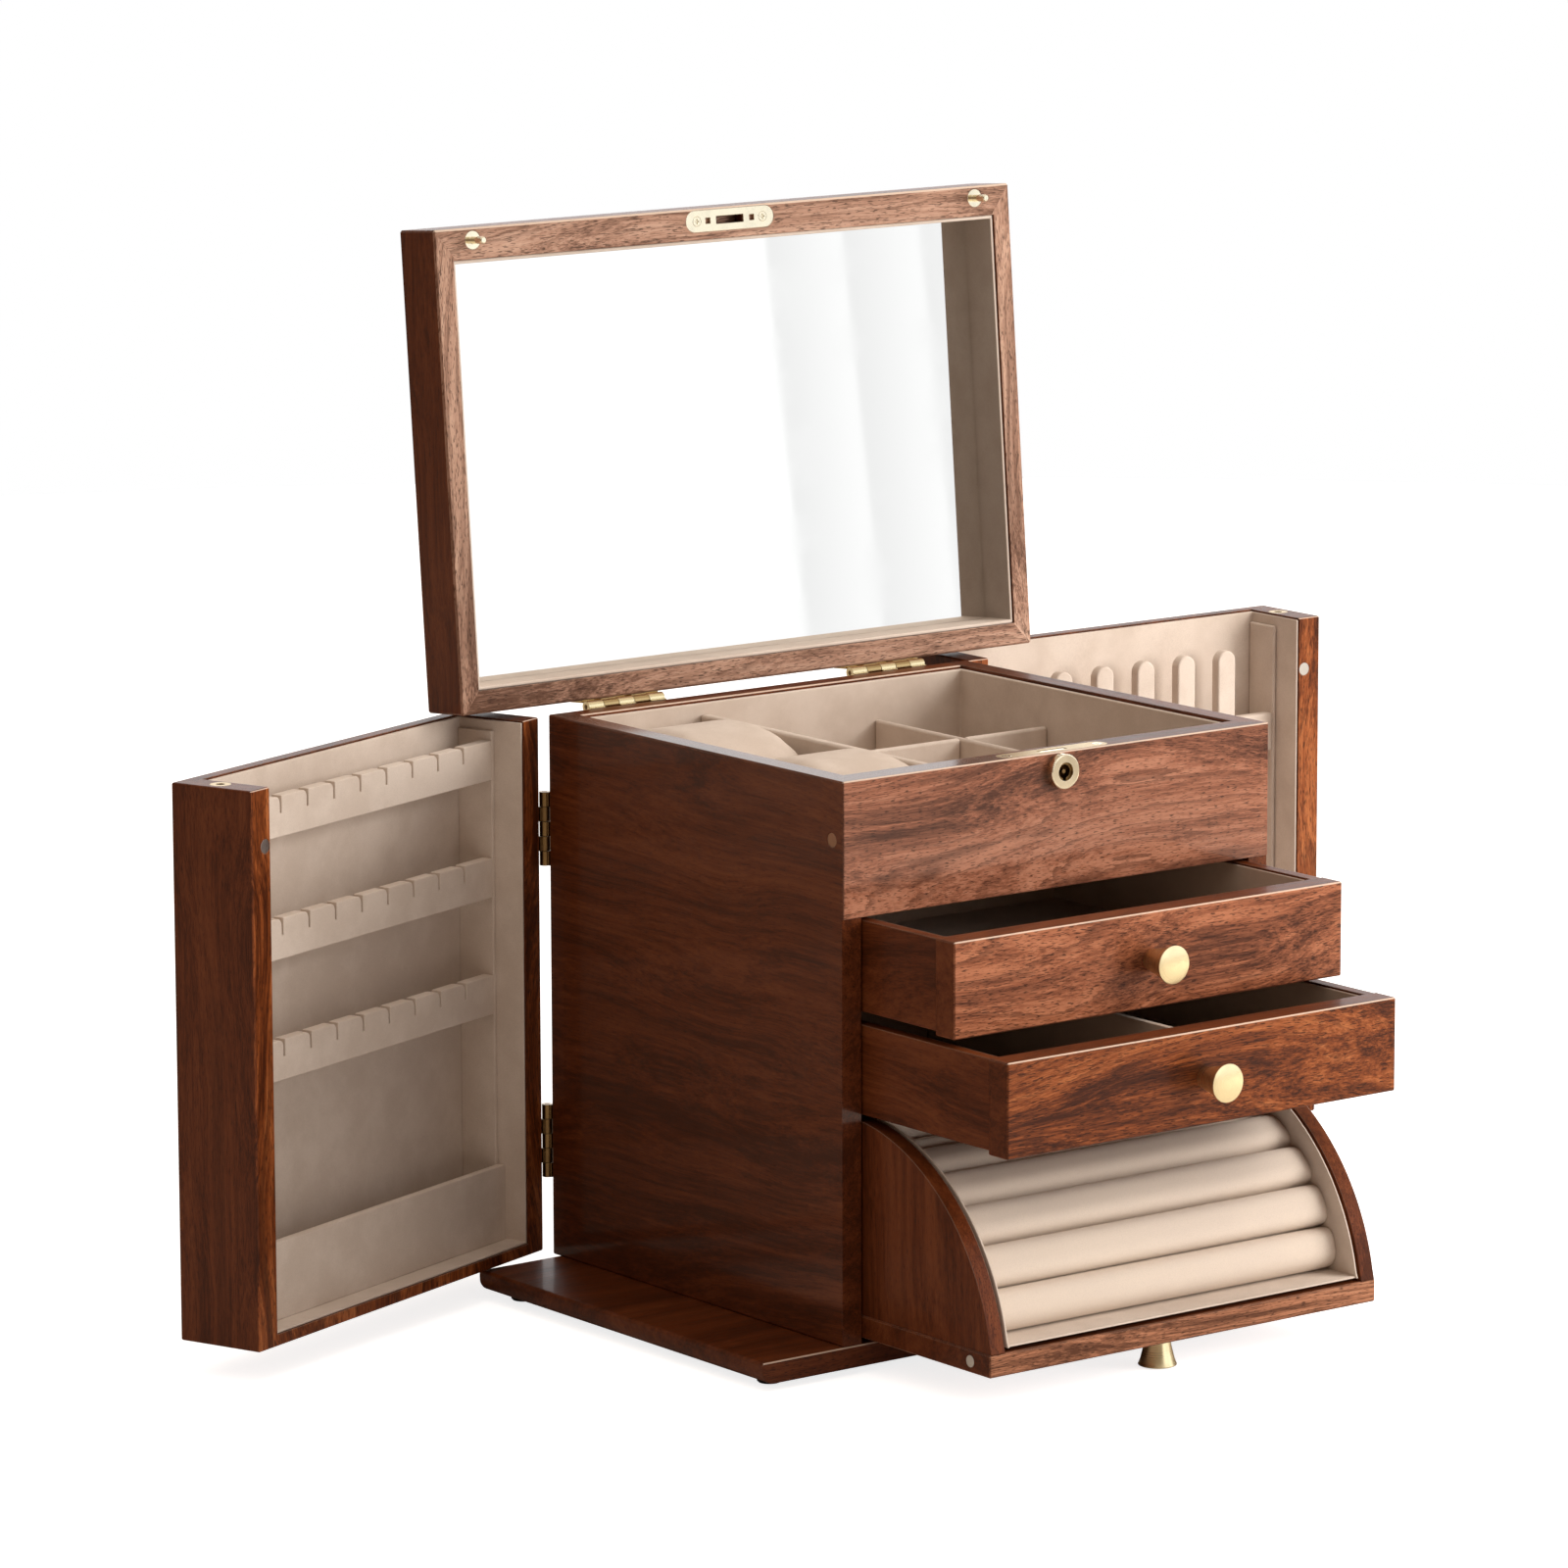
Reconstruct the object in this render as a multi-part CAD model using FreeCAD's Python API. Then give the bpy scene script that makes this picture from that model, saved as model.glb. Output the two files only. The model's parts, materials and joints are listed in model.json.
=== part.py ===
"""Jewellery chest with a mirrored lid, two side doors, two drawers and a tilt-out ring tray.

Millimetres. +X is right, -Y is the front and +Z is up. The origin is on the table, under the
centre of the case. Each piece is drawn with the chest shut, and then every moving group is turned
or slid to its resting place: lid up, doors out, drawers part open, ring tray tilted forward.
"""

import FreeCAD, Part
import os
from math import cos, degrees, radians, sin

V = FreeCAD.Vector

# ---- driving sizes ---------------------------------------------------------------------------
OVERALL_W = 300.0          # across the shut doors, and the width of lid and base
CASE_W = 220.0             # middle case, between the doors
CASE_D = 197.0
CASE_H = 228.0
BASE_T = 9.0
BASE_Y = (-99.0, 94.7)
FOOT_H = 3.0
FOOT_R = 5.0
CASE_Z = FOOT_H + BASE_T   # top of the base, where the case stands
CASE_TOP = CASE_Z + CASE_H
FRONT = -CASE_D / 2
BACK = CASE_D / 2

SIDE_T = 9.6
BACK_T = 9.0
INSIDE_X = CASE_W / 2 - SIDE_T
INSIDE_BACK = BACK - BACK_T
SHELF_T = 2.2
ARRIS = 0.5                # small chamfer on the edges of boards
FIT = 0.05                 # play round a let-in piece

# front fascia over the top tray
FASCIA_H = 55.0
FASCIA_PROUD = 0.9
FASCIA_T = 12.0
FASCIA_Y = (FRONT - FASCIA_PROUD, FRONT - FASCIA_PROUD + FASCIA_T)
FASCIA_Z = (CASE_TOP - FASCIA_H, CASE_TOP)

# top tray
TRAY_FLOOR_T = 3.0
LINING_T = 1.5             # card covered with velvet
TRAY_LINING_T = 2.2
TRAY_LINING_TOP = CASE_TOP - 1.3
DIVIDER_T = 3.0
DIVIDER_TOP = CASE_Z + 210.0
SECTION_T = 5.0
SECTION_TOP = CASE_Z + 222.0
SECTION_X = -38.0          # wall between the watch pillows and the small compartments
SPLIT_X = 53.0             # wall that halves the small compartments
CROSS_Y = 30.0             # wall across the small compartments
PILLOW_TOP = CASE_Z + 229.5
PILLOW_CROWN = 14.0
PILLOW_ROUND = 6.0
PILLOW_PLAY = 0.8

# drawers: bottom and top of each front, and how far it is drawn out at rest
DRAWER_HALF_W = 100.0
DRAWER_FRONT_T = 12.0
UPPER_Z = (CASE_Z + 133.1, CASE_Z + 171.8)
LOWER_Z = (CASE_Z + 91.4, CASE_Z + 129.7)
UPPER_OUT = 58.2
LOWER_OUT = 91.3
DRAWER_SIDE_X = 99.4
DRAWER_WALL_T = 5.0
DRAWER_FLOOR_T = 3.0
DRAWER_LINING_T = 1.0
DRAWER_DIVIDER_TOP = LOWER_Z[1] - 2.6
DRAWER_BACK_Y = 82.0
SHELF_ABOVE_FRONT = 1.4    # the shelf top hides this far above the lower edge of a front
DRAWER_LIFT = 0.3          # play between a drawer and its shelf

# knobs: a plain cone that flares outward, with a stud let into the wood
KNOB_L = 13.8
KNOB_NECK_R = 4.5
KNOB_FACE_R = 7.8
KNOB_EDGE = 0.5
KNOB_STUD_R = 2.0
KNOB_STUD_L = 6.0

# ring tray: outline in the (y, z) plane, measured from its pivot, as it stands when shut
PIVOT_Y = -95.0
PIVOT_Z = CASE_Z + 5.8
RING_FRONT_T = 9.2
RING_FACE = FRONT - PIVOT_Y
RING_BACK_FACE = RING_FACE + RING_FRONT_T
RING_FOOT = -3.5
RING_TOP = 84.2
RING_SIDE_X = 99.4
RING_SIDE_T = 6.9
RING_FLOOR = (-4.3, 1.2)
RING_REAR = 84.3
ARC_REAR = (84.3, 3.5)
ARC_MIDDLE = (55.6, 59.5)
ARC_FRONT = (9.5, 83.2)
RING_KNOB_UP = 66.5
ROLL_R = 9.0
ROLL_COUNT = 5
ROLL_PATH_R = 66.0         # the rolls' centres lie on an arc about the pivot
ROLL_FIRST_DEG = 16.2
ROLL_STEP_DEG = 14.8
ROLL_GAP = 0.15            # slit between two rolls
ROLL_PAD_DEG = 3.0         # where the pad behind the last roll ends
BED_R = 56.9               # outside of the curved card under the rolls
BED_T = 1.5
PIVOT_PIN_R = 1.5
TRAY_MAGNET = (1.1, 71.8)

# lid
LID_GAP = 1.2
LID_T = 24.8
LID_Z = (CASE_TOP + LID_GAP, CASE_TOP + LID_GAP + LID_T)
LID_Y = (-99.2, 99.2)
LID_SIDE_T = 9.0
LID_BACK_T = 9.5
LID_FRONT_T = 13.0
LID_PANEL_T = 4.0
MIRROR_DEPTH = 18.0        # from the rim of the lid to the glass
MIRROR_T = 2.0
LID_OPEN_DEG = 94.8
LID_AXIS_Y = BACK + 3.4
LID_AXIS_Z = CASE_TOP + 0.35

# doors (right-hand one; the left is its mirror image)
DOOR_GAP = 1.0
DOOR_X = (CASE_W / 2 + DOOR_GAP, OVERALL_W / 2 - 0.2)
DOOR_Y = (-101.2, 98.2)
DOOR_Z = (CASE_Z + 1.6, CASE_Z + 227.0)
DOOR_WALL_T = 12.0
DOOR_HINGE_WALL_T = 11.2
DOOR_FLOOR_T = 5.0
DOOR_PANEL_T = 6.0
DOOR_ROUND = 0.9
DOOR_AXIS_X = CASE_W / 2 + 0.5
DOOR_AXIS_Y = BACK + 2.56
LEFT_OPEN_DEG = 69.75
RIGHT_OPEN_DEG = 89.58
PANEL_LINING_T = 2.0
DOOR_LINING_T = 1.0
RACK_X = CASE_W / 2 + 15.0 # front plane of the earring bars and the necklace rack
RACK_T = 5.0
RACK_BOARD_T = 2.0
BAR_H = 16.5
BAR_TOPS = (CASE_Z + 218.0, CASE_Z + 168.8, CASE_Z + 119.7)
SLIT_COUNT = 8
SLIT_PITCH = 18.05
SLIT_FIRST_Y = 63.9
SLIT_W = 1.0
SLIT_H = 7.0
SHOULDER_R = 3.0
POCKET_X = (DOOR_X[0] + 10.5, DOOR_X[0] + 14.0)
POCKET_TOP = CASE_Z + 39.4
FINGER_COUNT = 6
FINGER_FIRST_Y = -59.5
FINGER_PITCH = 23.2
FINGER_W = 10.0
FINGER_TOP = CASE_Z + 213.5
RACK_RAIL_Z = (CASE_Z + 166.0, CASE_Z + 183.0)

# hinges
LEAF_T = 1.2
LEAF_W = 10.5
KNUCKLES = 5
KNUCKLE_GAP = 0.15
HINGE_PIN_R = 0.9
HINGE_PLAY = 0.05
LID_HINGE_L = 39.0
LID_HINGE_X = 69.0
LID_KNUCKLE_R = 2.4
DOOR_HINGE_L = 31.0
DOOR_HINGE_Z = (CASE_Z + 48.2, CASE_Z + 180.1)
DOOR_KNUCKLE_R = 2.2
SCREW_HEAD_R = 2.1
SCREW_SHANK_R = 0.8
SCREW_L = 6.5

# magnets, locating pins and lock
MAGNET_R = 2.8
MAGNET_T = 2.0
MAGNET_Y = -92.3
MAGNET_Z = CASE_Z + 203.9
TRAY_MAGNET_R = 2.4
LOCATING_X = 131.0
LOCATING_Y = -94.0
LOCATING_PIN_R = 1.5
LOCATING_PIN_L = 8.0
LOCATING_DISC_R = 3.8
SOCKET_R = 4.2
SOCKET_BORE_R = 1.75
SOCKET_H = 10.0
LOCK_Z = CASE_Z + 220.3
LOCK_Y = -93.9             # middle of the fascia, where the lock case is let in
LOCK_CASE = (40.0, 6.0, 21.5)
LOCK_WALL = 0.8
LOCK_PLATE = (55.0, 8.6, 1.5)
STRIKE_PLATE = (45.6, 9.0, 1.2)
STRIKE_SLOT = (14.2, 3.3)
STRIKE_HOLE = 2.5
STRIKE_HOLE_X = 11.4
ESCUTCHEON_R = 7.15
ESCUTCHEON_PROUD = 3.5
ESCUTCHEON_TUBE_R = 5.0
BARREL_R = 3.70
BARREL_BORE_R = 3.75
BARREL_CUP_R = 2.8
BARREL_POST_R = 0.9
CAM_R = 2.5
CAM_PIN_R = 0.8
CAM_SWING_DEG = 45.0
BOLT_W = 13.4
BOLT_T = 2.7

X_AXIS = V(1, 0, 0)
Z_AXIS = V(0, 0, 1)


# ---- small helpers ---------------------------------------------------------------------------
def block(x, y, z):
    """A plain box between pairs of limits."""
    return Part.makeBox(x[1] - x[0], y[1] - y[0], z[1] - z[0], V(x[0], y[0], z[0]))


def board(x, y, z, arris=ARRIS):
    """A box with every edge eased by a small chamfer."""
    shape = block(x, y, z)
    return shape.makeChamfer(arris, shape.Edges)


def around(middle, size):
    """Limits of a span of that size about its middle."""
    return (middle - size / 2, middle + size / 2)


def prism_z(outline, z):
    """A polygon of (x, y) corners raised between two heights."""
    corners = [V(x, y, z[0]) for x, y in outline]
    face = Part.Face(Part.makePolygon(corners + corners[:1]))
    return face.extrude(V(0, 0, z[1] - z[0]))


def rod(radius, start, end):
    """A round bar between two points."""
    start = V(*start)
    along = V(*end) - start
    return Part.makeCylinder(radius, along.Length, start, along)


def cone(radius_a, radius_b, start, end):
    """A cone frustum between two points."""
    start = V(*start)
    along = V(*end) - start
    return Part.makeCone(radius_a, radius_b, along.Length, start, along)


def mirrored(shape):
    """The same piece on the other side of the chest."""
    return shape.mirror(V(0, 0, 0), X_AXIS)


def both_sides(shape):
    return [shape, mirrored(shape)]


def fused(shapes):
    whole = shapes[0]
    for shape in shapes[1:]:
        whole = whole.fuse(shape)
    return whole.removeSplitter()


def cut_all(shape, cutters):
    for cutter in cutters:
        shape = shape.cut(cutter)
    return shape


def placed(shape, origin, u, v, w):
    """Moves a shape drawn on local axes u, v, w to its place in the chest."""
    matrix = FreeCAD.Matrix(
        u.x, v.x, w.x, origin.x,
        u.y, v.y, w.y, origin.y,
        u.z, v.z, w.z, origin.z,
        0, 0, 0, 1,
    )
    copy = shape.copy()
    copy.Placement = FreeCAD.Placement(matrix).multiply(copy.Placement)
    return copy


# ---- fasteners -------------------------------------------------------------------------------
def screw(play=0.0):
    """A countersunk wood screw on the local axes: head at the origin, pointing along -Z."""
    head_h = SCREW_HEAD_R - SCREW_SHANK_R
    head = cone(SCREW_SHANK_R + play, SCREW_HEAD_R + play, (0, 0, -head_h), (0, 0, 0))
    shank = rod(SCREW_SHANK_R + play, (0, 0, -SCREW_L - play), (0, 0, -head_h))
    body = fused([head, shank])
    if play:
        return body
    slot = block(around(0, 0.45), around(0, 2.2), (-0.5, 0.1))
    cross = fused([slot, slot.rotated(V(0, 0, 0), Z_AXIS, 90)])
    return body.cut(cross)


def screw_at(point, direction, play=0.0):
    """A screw with its head flush at a point, driven along a direction."""
    turn = FreeCAD.Rotation(V(0, 0, -1), V(*direction))
    shape = screw(play)
    shape.Placement = FreeCAD.Placement(V(*point), turn)
    return shape


# ---- hinges ----------------------------------------------------------------------------------
class Hinge:
    """A butt hinge screwed to the back of the chest. Local u runs from the case to the moving part,
    v from the pin forwards to the wood, and w along the pin; case_v and moving_v are the distances
    from the pin to the back of the wood on each side."""

    def __init__(self, origin, u, v, length, knuckle_r, case_v, moving_v):
        self.origin = V(*origin)
        self.u = V(*u)
        self.v = V(*v)
        self.w = self.u.cross(self.v)
        self.length = length
        self.knuckle_r = knuckle_r
        near = knuckle_r + KNUCKLE_GAP
        self.case = ((-LEAF_W, -near), case_v)
        self.moving = ((near, LEAF_W), moving_v)

    def place(self, shape):
        return placed(shape, self.origin, self.u, self.v, self.w)

    def segment(self, index):
        """Start and end of one knuckle along the pin."""
        pitch = self.length / KNUCKLES
        start = -self.length / 2 + index * pitch
        return (start + KNUCKLE_GAP / 2, start + pitch - KNUCKLE_GAP / 2)

    def leaf(self, side, indices):
        """A flat plate against the wood, with its own share of the knuckles."""
        limits_u, wood_v = side
        limits_v = (wood_v - LEAF_T, wood_v)
        root_u = (min(limits_u[0], 0), max(limits_u[1], 0))
        shapes = [block(limits_u, limits_v, around(0, self.length))]
        for index in indices:
            span = self.segment(index)
            shapes.append(block(root_u, limits_v, span))
            shapes.append(rod(self.knuckle_r, (0, 0, span[0]), (0, 0, span[1])))
        bore = rod(HINGE_PIN_R + HINGE_PLAY, (0, 0, -self.length), (0, 0, self.length))
        return self.place(cut_all(fused(shapes), [bore] + self.screws(side, FIT)))

    def screws(self, side, play):
        """Two countersunk screws, driven forwards through the leaf; in local axes."""
        limits_u, wood_v = side
        middle_u = sum(limits_u) / 2
        heads = [(middle_u, wood_v - LEAF_T, w * self.length) for w in (-0.3, 0.3)]
        return [screw_at(head, (0, 1, 0), play) for head in heads]

    def case_leaf(self):
        return self.leaf(self.case, range(0, KNUCKLES, 2))

    def moving_leaf(self):
        return self.leaf(self.moving, range(1, KNUCKLES, 2))

    def pin(self):
        return self.place(rod(HINGE_PIN_R, (0, 0, -self.length / 2), (0, 0, self.length / 2)))

    def case_screws(self, play=0.0):
        return [self.place(shape) for shape in self.screws(self.case, play)]

    def moving_screws(self, play=0.0):
        return [self.place(shape) for shape in self.screws(self.moving, play)]


def lid_hinges():
    hinges = []
    for x in (-LID_HINGE_X, LID_HINGE_X):
        origin = (x, LID_AXIS_Y, LID_AXIS_Z)
        wood_v = (LID_AXIS_Y - BACK, LID_AXIS_Y - LID_Y[1])
        hinges.append(Hinge(origin, (0, 0, 1), (0, -1, 0), LID_HINGE_L, LID_KNUCKLE_R, *wood_v))
    return hinges


def door_hinges(side):
    """The two hinges of one door; side is +1 for the right door and -1 for the left."""
    hinges = []
    for z in DOOR_HINGE_Z:
        origin = (side * DOOR_AXIS_X, DOOR_AXIS_Y, z)
        wood_v = (DOOR_AXIS_Y - BACK, DOOR_AXIS_Y - DOOR_Y[1])
        hinges.append(Hinge(origin, (side, 0, 0), (0, -1, 0), DOOR_HINGE_L, DOOR_KNUCKLE_R, *wood_v))
    return hinges


# ---- case ------------------------------------------------------------------------------------
def base_plate():
    """Full-width base whose two ends are rounded underneath."""
    plate = block(around(0, OVERALL_W), BASE_Y, (FOOT_H, CASE_Z))
    lower = [edge for edge in plate.Edges if abs(edge.CenterOfMass.z - FOOT_H) < 0.01]
    end_edges = [edge for edge in lower if abs(abs(edge.CenterOfMass.x) - OVERALL_W / 2) < 0.01]
    plate = plate.makeFillet(5.5, end_edges)
    top_edges = [edge for edge in plate.Edges if abs(edge.CenterOfMass.z - CASE_Z) < 0.01]
    return plate.makeFillet(1.5, top_edges)


def rubber_feet():
    feet = []
    for x in (-137.0, 137.0):
        for y in (-86.0, 82.0):
            foot = rod(FOOT_R, (x, y, 0), (x, y, FOOT_H))
            rim = [edge for edge in foot.Edges if abs(edge.CenterOfMass.z) < 0.01 and edge.Length > 20]
            feet.append(foot.makeChamfer(0.6, rim))
    return feet


def case_outline():
    """Outside of the whole case with its edges eased; the band round the top tray is proud."""
    return board(around(0, CASE_W), (FASCIA_Y[0], BACK), (CASE_Z, CASE_TOP))


def side_panel():
    """Right-hand side of the case, mitred to the fascia at its top front corner."""
    outer = CASE_W / 2
    band = [(outer, FASCIA_Y[0]), (outer, BACK), (INSIDE_X, BACK), (INSIDE_X, FASCIA_Y[1])]
    upper = prism_z(band, FASCIA_Z)
    lower = block((INSIDE_X, outer), (FRONT, BACK), (CASE_Z, FASCIA_Z[0]))
    panel = fused([lower, upper]).common(case_outline())
    pin_hole = rod(PIVOT_PIN_R, (INSIDE_X - 1, PIVOT_Y, PIVOT_Z), (INSIDE_X + 6, PIVOT_Y, PIVOT_Z))
    cutters = [pin_hole, case_door_magnet(FIT), case_tray_magnet(FIT)]
    for hinge in door_hinges(1):
        cutters.extend(hinge.case_screws(FIT))
    return cut_all(panel, cutters)


def back_panel():
    panel = board((-INSIDE_X, INSIDE_X), (INSIDE_BACK, BACK), (CASE_Z, CASE_TOP))
    cutters = []
    for hinge in lid_hinges():
        cutters.extend(hinge.case_screws(FIT))
    return cut_all(panel, cutters)


def front_fascia():
    """Board over the drawers, mortised from above for the lock."""
    half = CASE_W / 2
    outline = [(-half, FASCIA_Y[0]), (half, FASCIA_Y[0]), (INSIDE_X, FASCIA_Y[1]), (-INSIDE_X, FASCIA_Y[1])]
    panel = prism_z(outline, FASCIA_Z).common(case_outline())
    length, depth, height = LOCK_CASE
    plate_z = CASE_TOP - LOCK_PLATE[2]
    mortise = block(around(0, length + 2 * FIT), around(LOCK_Y, depth + 2 * FIT),
                    (plate_z - height - FIT, CASE_TOP + 1))
    keyhole = rod(ESCUTCHEON_TUBE_R + FIT, (0, FASCIA_Y[0] - 1, LOCK_Z), (0, LOCK_Y, LOCK_Z))
    cutters = [mortise, plate_outline(LOCK_PLATE, plate_z, FIT), keyhole]
    return cut_all(panel, cutters + lock_screws(FIT))


def shelf_boards():
    """Floor of the top tray and the shelf that each drawer runs on."""
    y_span = (FRONT + DRAWER_FRONT_T + 0.3, INSIDE_BACK)
    x_span = (-INSIDE_X, INSIDE_X)
    tray_floor = (FASCIA_Z[0], FASCIA_Z[0] + TRAY_FLOOR_T)
    boards = [block(x_span, (FASCIA_Y[1], INSIDE_BACK), tray_floor)]
    for front_z in (UPPER_Z, LOWER_Z):
        top = front_z[0] + SHELF_ABOVE_FRONT
        boards.append(block(x_span, y_span, (top - SHELF_T, top)))
    return boards


def top_tray_lining():
    """Velvet-covered box let into the top tray."""
    floor = FASCIA_Z[0] + TRAY_FLOOR_T
    outer = block((-INSIDE_X, INSIDE_X), (FASCIA_Y[1], INSIDE_BACK), (floor, TRAY_LINING_TOP))
    inner = block((-INSIDE_X + TRAY_LINING_T, INSIDE_X - TRAY_LINING_T),
                  (FASCIA_Y[1] + TRAY_LINING_T, INSIDE_BACK - TRAY_LINING_T),
                  (floor + LINING_T, TRAY_LINING_TOP + 1))
    return outer.cut(inner)


def tray_well():
    """Inside limits of the lined top tray."""
    x = INSIDE_X - TRAY_LINING_T
    y = (FASCIA_Y[1] + TRAY_LINING_T, INSIDE_BACK - TRAY_LINING_T)
    return x, y, FASCIA_Z[0] + TRAY_FLOOR_T + LINING_T


def top_tray_dividers():
    """A higher wall beside the watch pillows, then a lower one and a cross wall in two pieces."""
    well_x, well_y, floor = tray_well()
    z = (floor, DIVIDER_TOP)
    section = block(around(SECTION_X, SECTION_T), well_y, (floor, SECTION_TOP))
    split = block(around(SPLIT_X, DIVIDER_T), well_y, z)
    left_x = (SECTION_X + SECTION_T / 2, SPLIT_X - DIVIDER_T / 2)
    right_x = (SPLIT_X + DIVIDER_T / 2, well_x)
    crosses = [block(x, around(CROSS_Y, DIVIDER_T), z) for x in (left_x, right_x)]
    return [section, split] + crosses


def watch_pillow(y_span):
    """A roll with its axis from left to right and a rounded front, top and back."""
    well_x, _, floor = tray_well()
    x0 = -well_x + PILLOW_PLAY
    x1 = SECTION_X - SECTION_T / 2 - PILLOW_PLAY
    y0, y1 = y_span
    low = floor + 0.3
    shoulder = PILLOW_TOP - PILLOW_CROWN
    corners = [V(x0, y0, shoulder), V(x0, y0, low), V(x0, y1, low), V(x0, y1, shoulder)]
    crown = Part.Arc(corners[3], V(x0, (y0 + y1) / 2, PILLOW_TOP), corners[0]).toShape()
    straight = [Part.makeLine(a, b) for a, b in zip(corners, corners[1:])]
    pillow = Part.Face(Part.Wire(straight + [crown])).extrude(V(x1 - x0, 0, 0))
    return pillow.makeFillet(PILLOW_ROUND, pillow.Edges)


def watch_pillows():
    """Back and front pillow, which share the depth of the top tray."""
    _, well_y, _ = tray_well()
    middle = sum(well_y) / 2
    back = watch_pillow((middle + PILLOW_PLAY, well_y[1] - PILLOW_PLAY))
    front = watch_pillow((well_y[0] + PILLOW_PLAY, middle - PILLOW_PLAY))
    return {"back_watch_pillow": [back], "front_watch_pillow": [front]}


def tray_pivot_pins():
    pin = rod(PIVOT_PIN_R, (94.0, PIVOT_Y, PIVOT_Z), (INSIDE_X + 6, PIVOT_Y, PIVOT_Z))
    return both_sides(pin)


def case_door_magnet(play=0.0):
    """Magnet let into the outer face of the right side panel, which holds the door shut."""
    face = CASE_W / 2
    start = (face - MAGNET_T - play, MAGNET_Y, MAGNET_Z)
    return rod(MAGNET_R + play, start, (face + 2 * play, MAGNET_Y, MAGNET_Z))


def case_tray_magnet(play=0.0):
    """Magnet let into the inner face of the right side panel, which holds the ring tray shut."""
    y = PIVOT_Y + TRAY_MAGNET[0]
    z = PIVOT_Z + TRAY_MAGNET[1]
    return rod(TRAY_MAGNET_R + play, (INSIDE_X - 2 * play, y, z), (INSIDE_X + MAGNET_T + play, y, z))


def case_magnets():
    return both_sides(case_door_magnet()) + both_sides(case_tray_magnet())


def all_case_hinges():
    return lid_hinges() + door_hinges(1) + door_hinges(-1)


# ---- lock ------------------------------------------------------------------------------------
def stadium(length, width, z):
    """A flat bar with round ends, centred on the lock."""
    straight = length - width
    bar = block(around(0, straight), around(LOCK_Y, width), z)
    ends = [rod(width / 2, (x, LOCK_Y, z[0]), (x, LOCK_Y, z[1])) for x in (-straight / 2, straight / 2)]
    return fused([bar] + ends)


def plate_outline(size, z, play=0.0):
    length, width, thickness = size
    return stadium(length + 2 * play, width + 2 * play, (z - play, z + thickness + 2 * play))


def lock_screws(play=0.0):
    return [screw_at((x, LOCK_Y, CASE_TOP), (0, 0, -1), play) for x in (-23.4, 23.4)]


def lock_face_plate():
    plate = plate_outline(LOCK_PLATE, CASE_TOP - LOCK_PLATE[2])
    slot = block(around(0, BOLT_W + 0.6), around(LOCK_Y, BOLT_T + 0.5), (CASE_TOP - 5, CASE_TOP + 1))
    return cut_all(plate, [slot] + lock_screws(FIT))


def lock_case():
    """Thin brass box that holds the bolt, open at the top under the face plate."""
    length, depth, height = LOCK_CASE
    top = CASE_TOP - LOCK_PLATE[2]
    outer = block(around(0, length), around(LOCK_Y, depth), (top - height, top))
    inner = block(around(0, length - 2 * LOCK_WALL), around(LOCK_Y, depth - 2 * LOCK_WALL),
                  (top - height + LOCK_WALL, top + 1))
    hole = rod(BARREL_BORE_R, (0, LOCK_Y - depth, LOCK_Z), (0, LOCK_Y, LOCK_Z))
    return cut_all(outer, [inner, hole])


def key_escutcheon():
    """Round brass collar on the fascia with a short tube through the wood."""
    face = FASCIA_Y[0]
    case_front = LOCK_Y - LOCK_CASE[1] / 2
    collar = rod(ESCUTCHEON_R, (0, face - ESCUTCHEON_PROUD, LOCK_Z), (0, face, LOCK_Z))
    rim = [edge for edge in collar.Edges if abs(edge.CenterOfMass.y - face + ESCUTCHEON_PROUD) < 0.01]
    collar = collar.makeFillet(0.5, rim)
    tube = rod(ESCUTCHEON_TUBE_R, (0, face, LOCK_Z), (0, case_front, LOCK_Z))
    bore = rod(BARREL_BORE_R, (0, face - 10, LOCK_Z), (0, case_front + 1, LOCK_Z))
    return fused([collar, tube]).cut(bore)


BARREL_FRONT = FASCIA_Y[0] - ESCUTCHEON_PROUD + 1.0
BARREL_REAR = LOCK_Y - BOLT_T / 2 - 0.25


def cam_point(angle_deg, y):
    return (CAM_R * cos(radians(angle_deg)), y, LOCK_Z + CAM_R * sin(radians(angle_deg)))


def lock_barrel():
    """Cup with a centre post for the key, a key notch and a cam pin at the rear."""
    rear_wall = 1.6
    body = rod(BARREL_R, (0, BARREL_FRONT, LOCK_Z), (0, BARREL_REAR, LOCK_Z))
    cup = rod(BARREL_CUP_R, (0, BARREL_FRONT - 1, LOCK_Z), (0, BARREL_REAR - rear_wall, LOCK_Z))
    post = rod(BARREL_POST_R, (0, BARREL_FRONT + 0.4, LOCK_Z), (0, BARREL_REAR - rear_wall, LOCK_Z))
    notch = block(around(0, 1.6), (BARREL_FRONT - 1, BARREL_REAR - rear_wall), (LOCK_Z - 5, LOCK_Z))
    pin_start = cam_point(-CAM_SWING_DEG, BARREL_REAR - 0.5)
    pin = rod(CAM_PIN_R, pin_start, cam_point(-CAM_SWING_DEG, LOCK_Y + 0.6))
    shell = cut_all(body, [cup, notch])
    return fused([shell, post, pin])


def lock_bolt():
    """Flat bolt that the cam pin lifts through the face plate."""
    top = CASE_TOP - 0.2
    bolt = block(around(0, BOLT_W), around(LOCK_Y, BOLT_T), (LOCK_Z - 9.0, top))
    slack = 0.2
    x, _, z = cam_point(-CAM_SWING_DEG, 0)
    reach = CAM_PIN_R + slack
    slot = block((x - reach, CAM_R + reach), around(LOCK_Y, 2 * BOLT_T), (z - reach, z + reach))
    return bolt.cut(slot)


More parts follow.
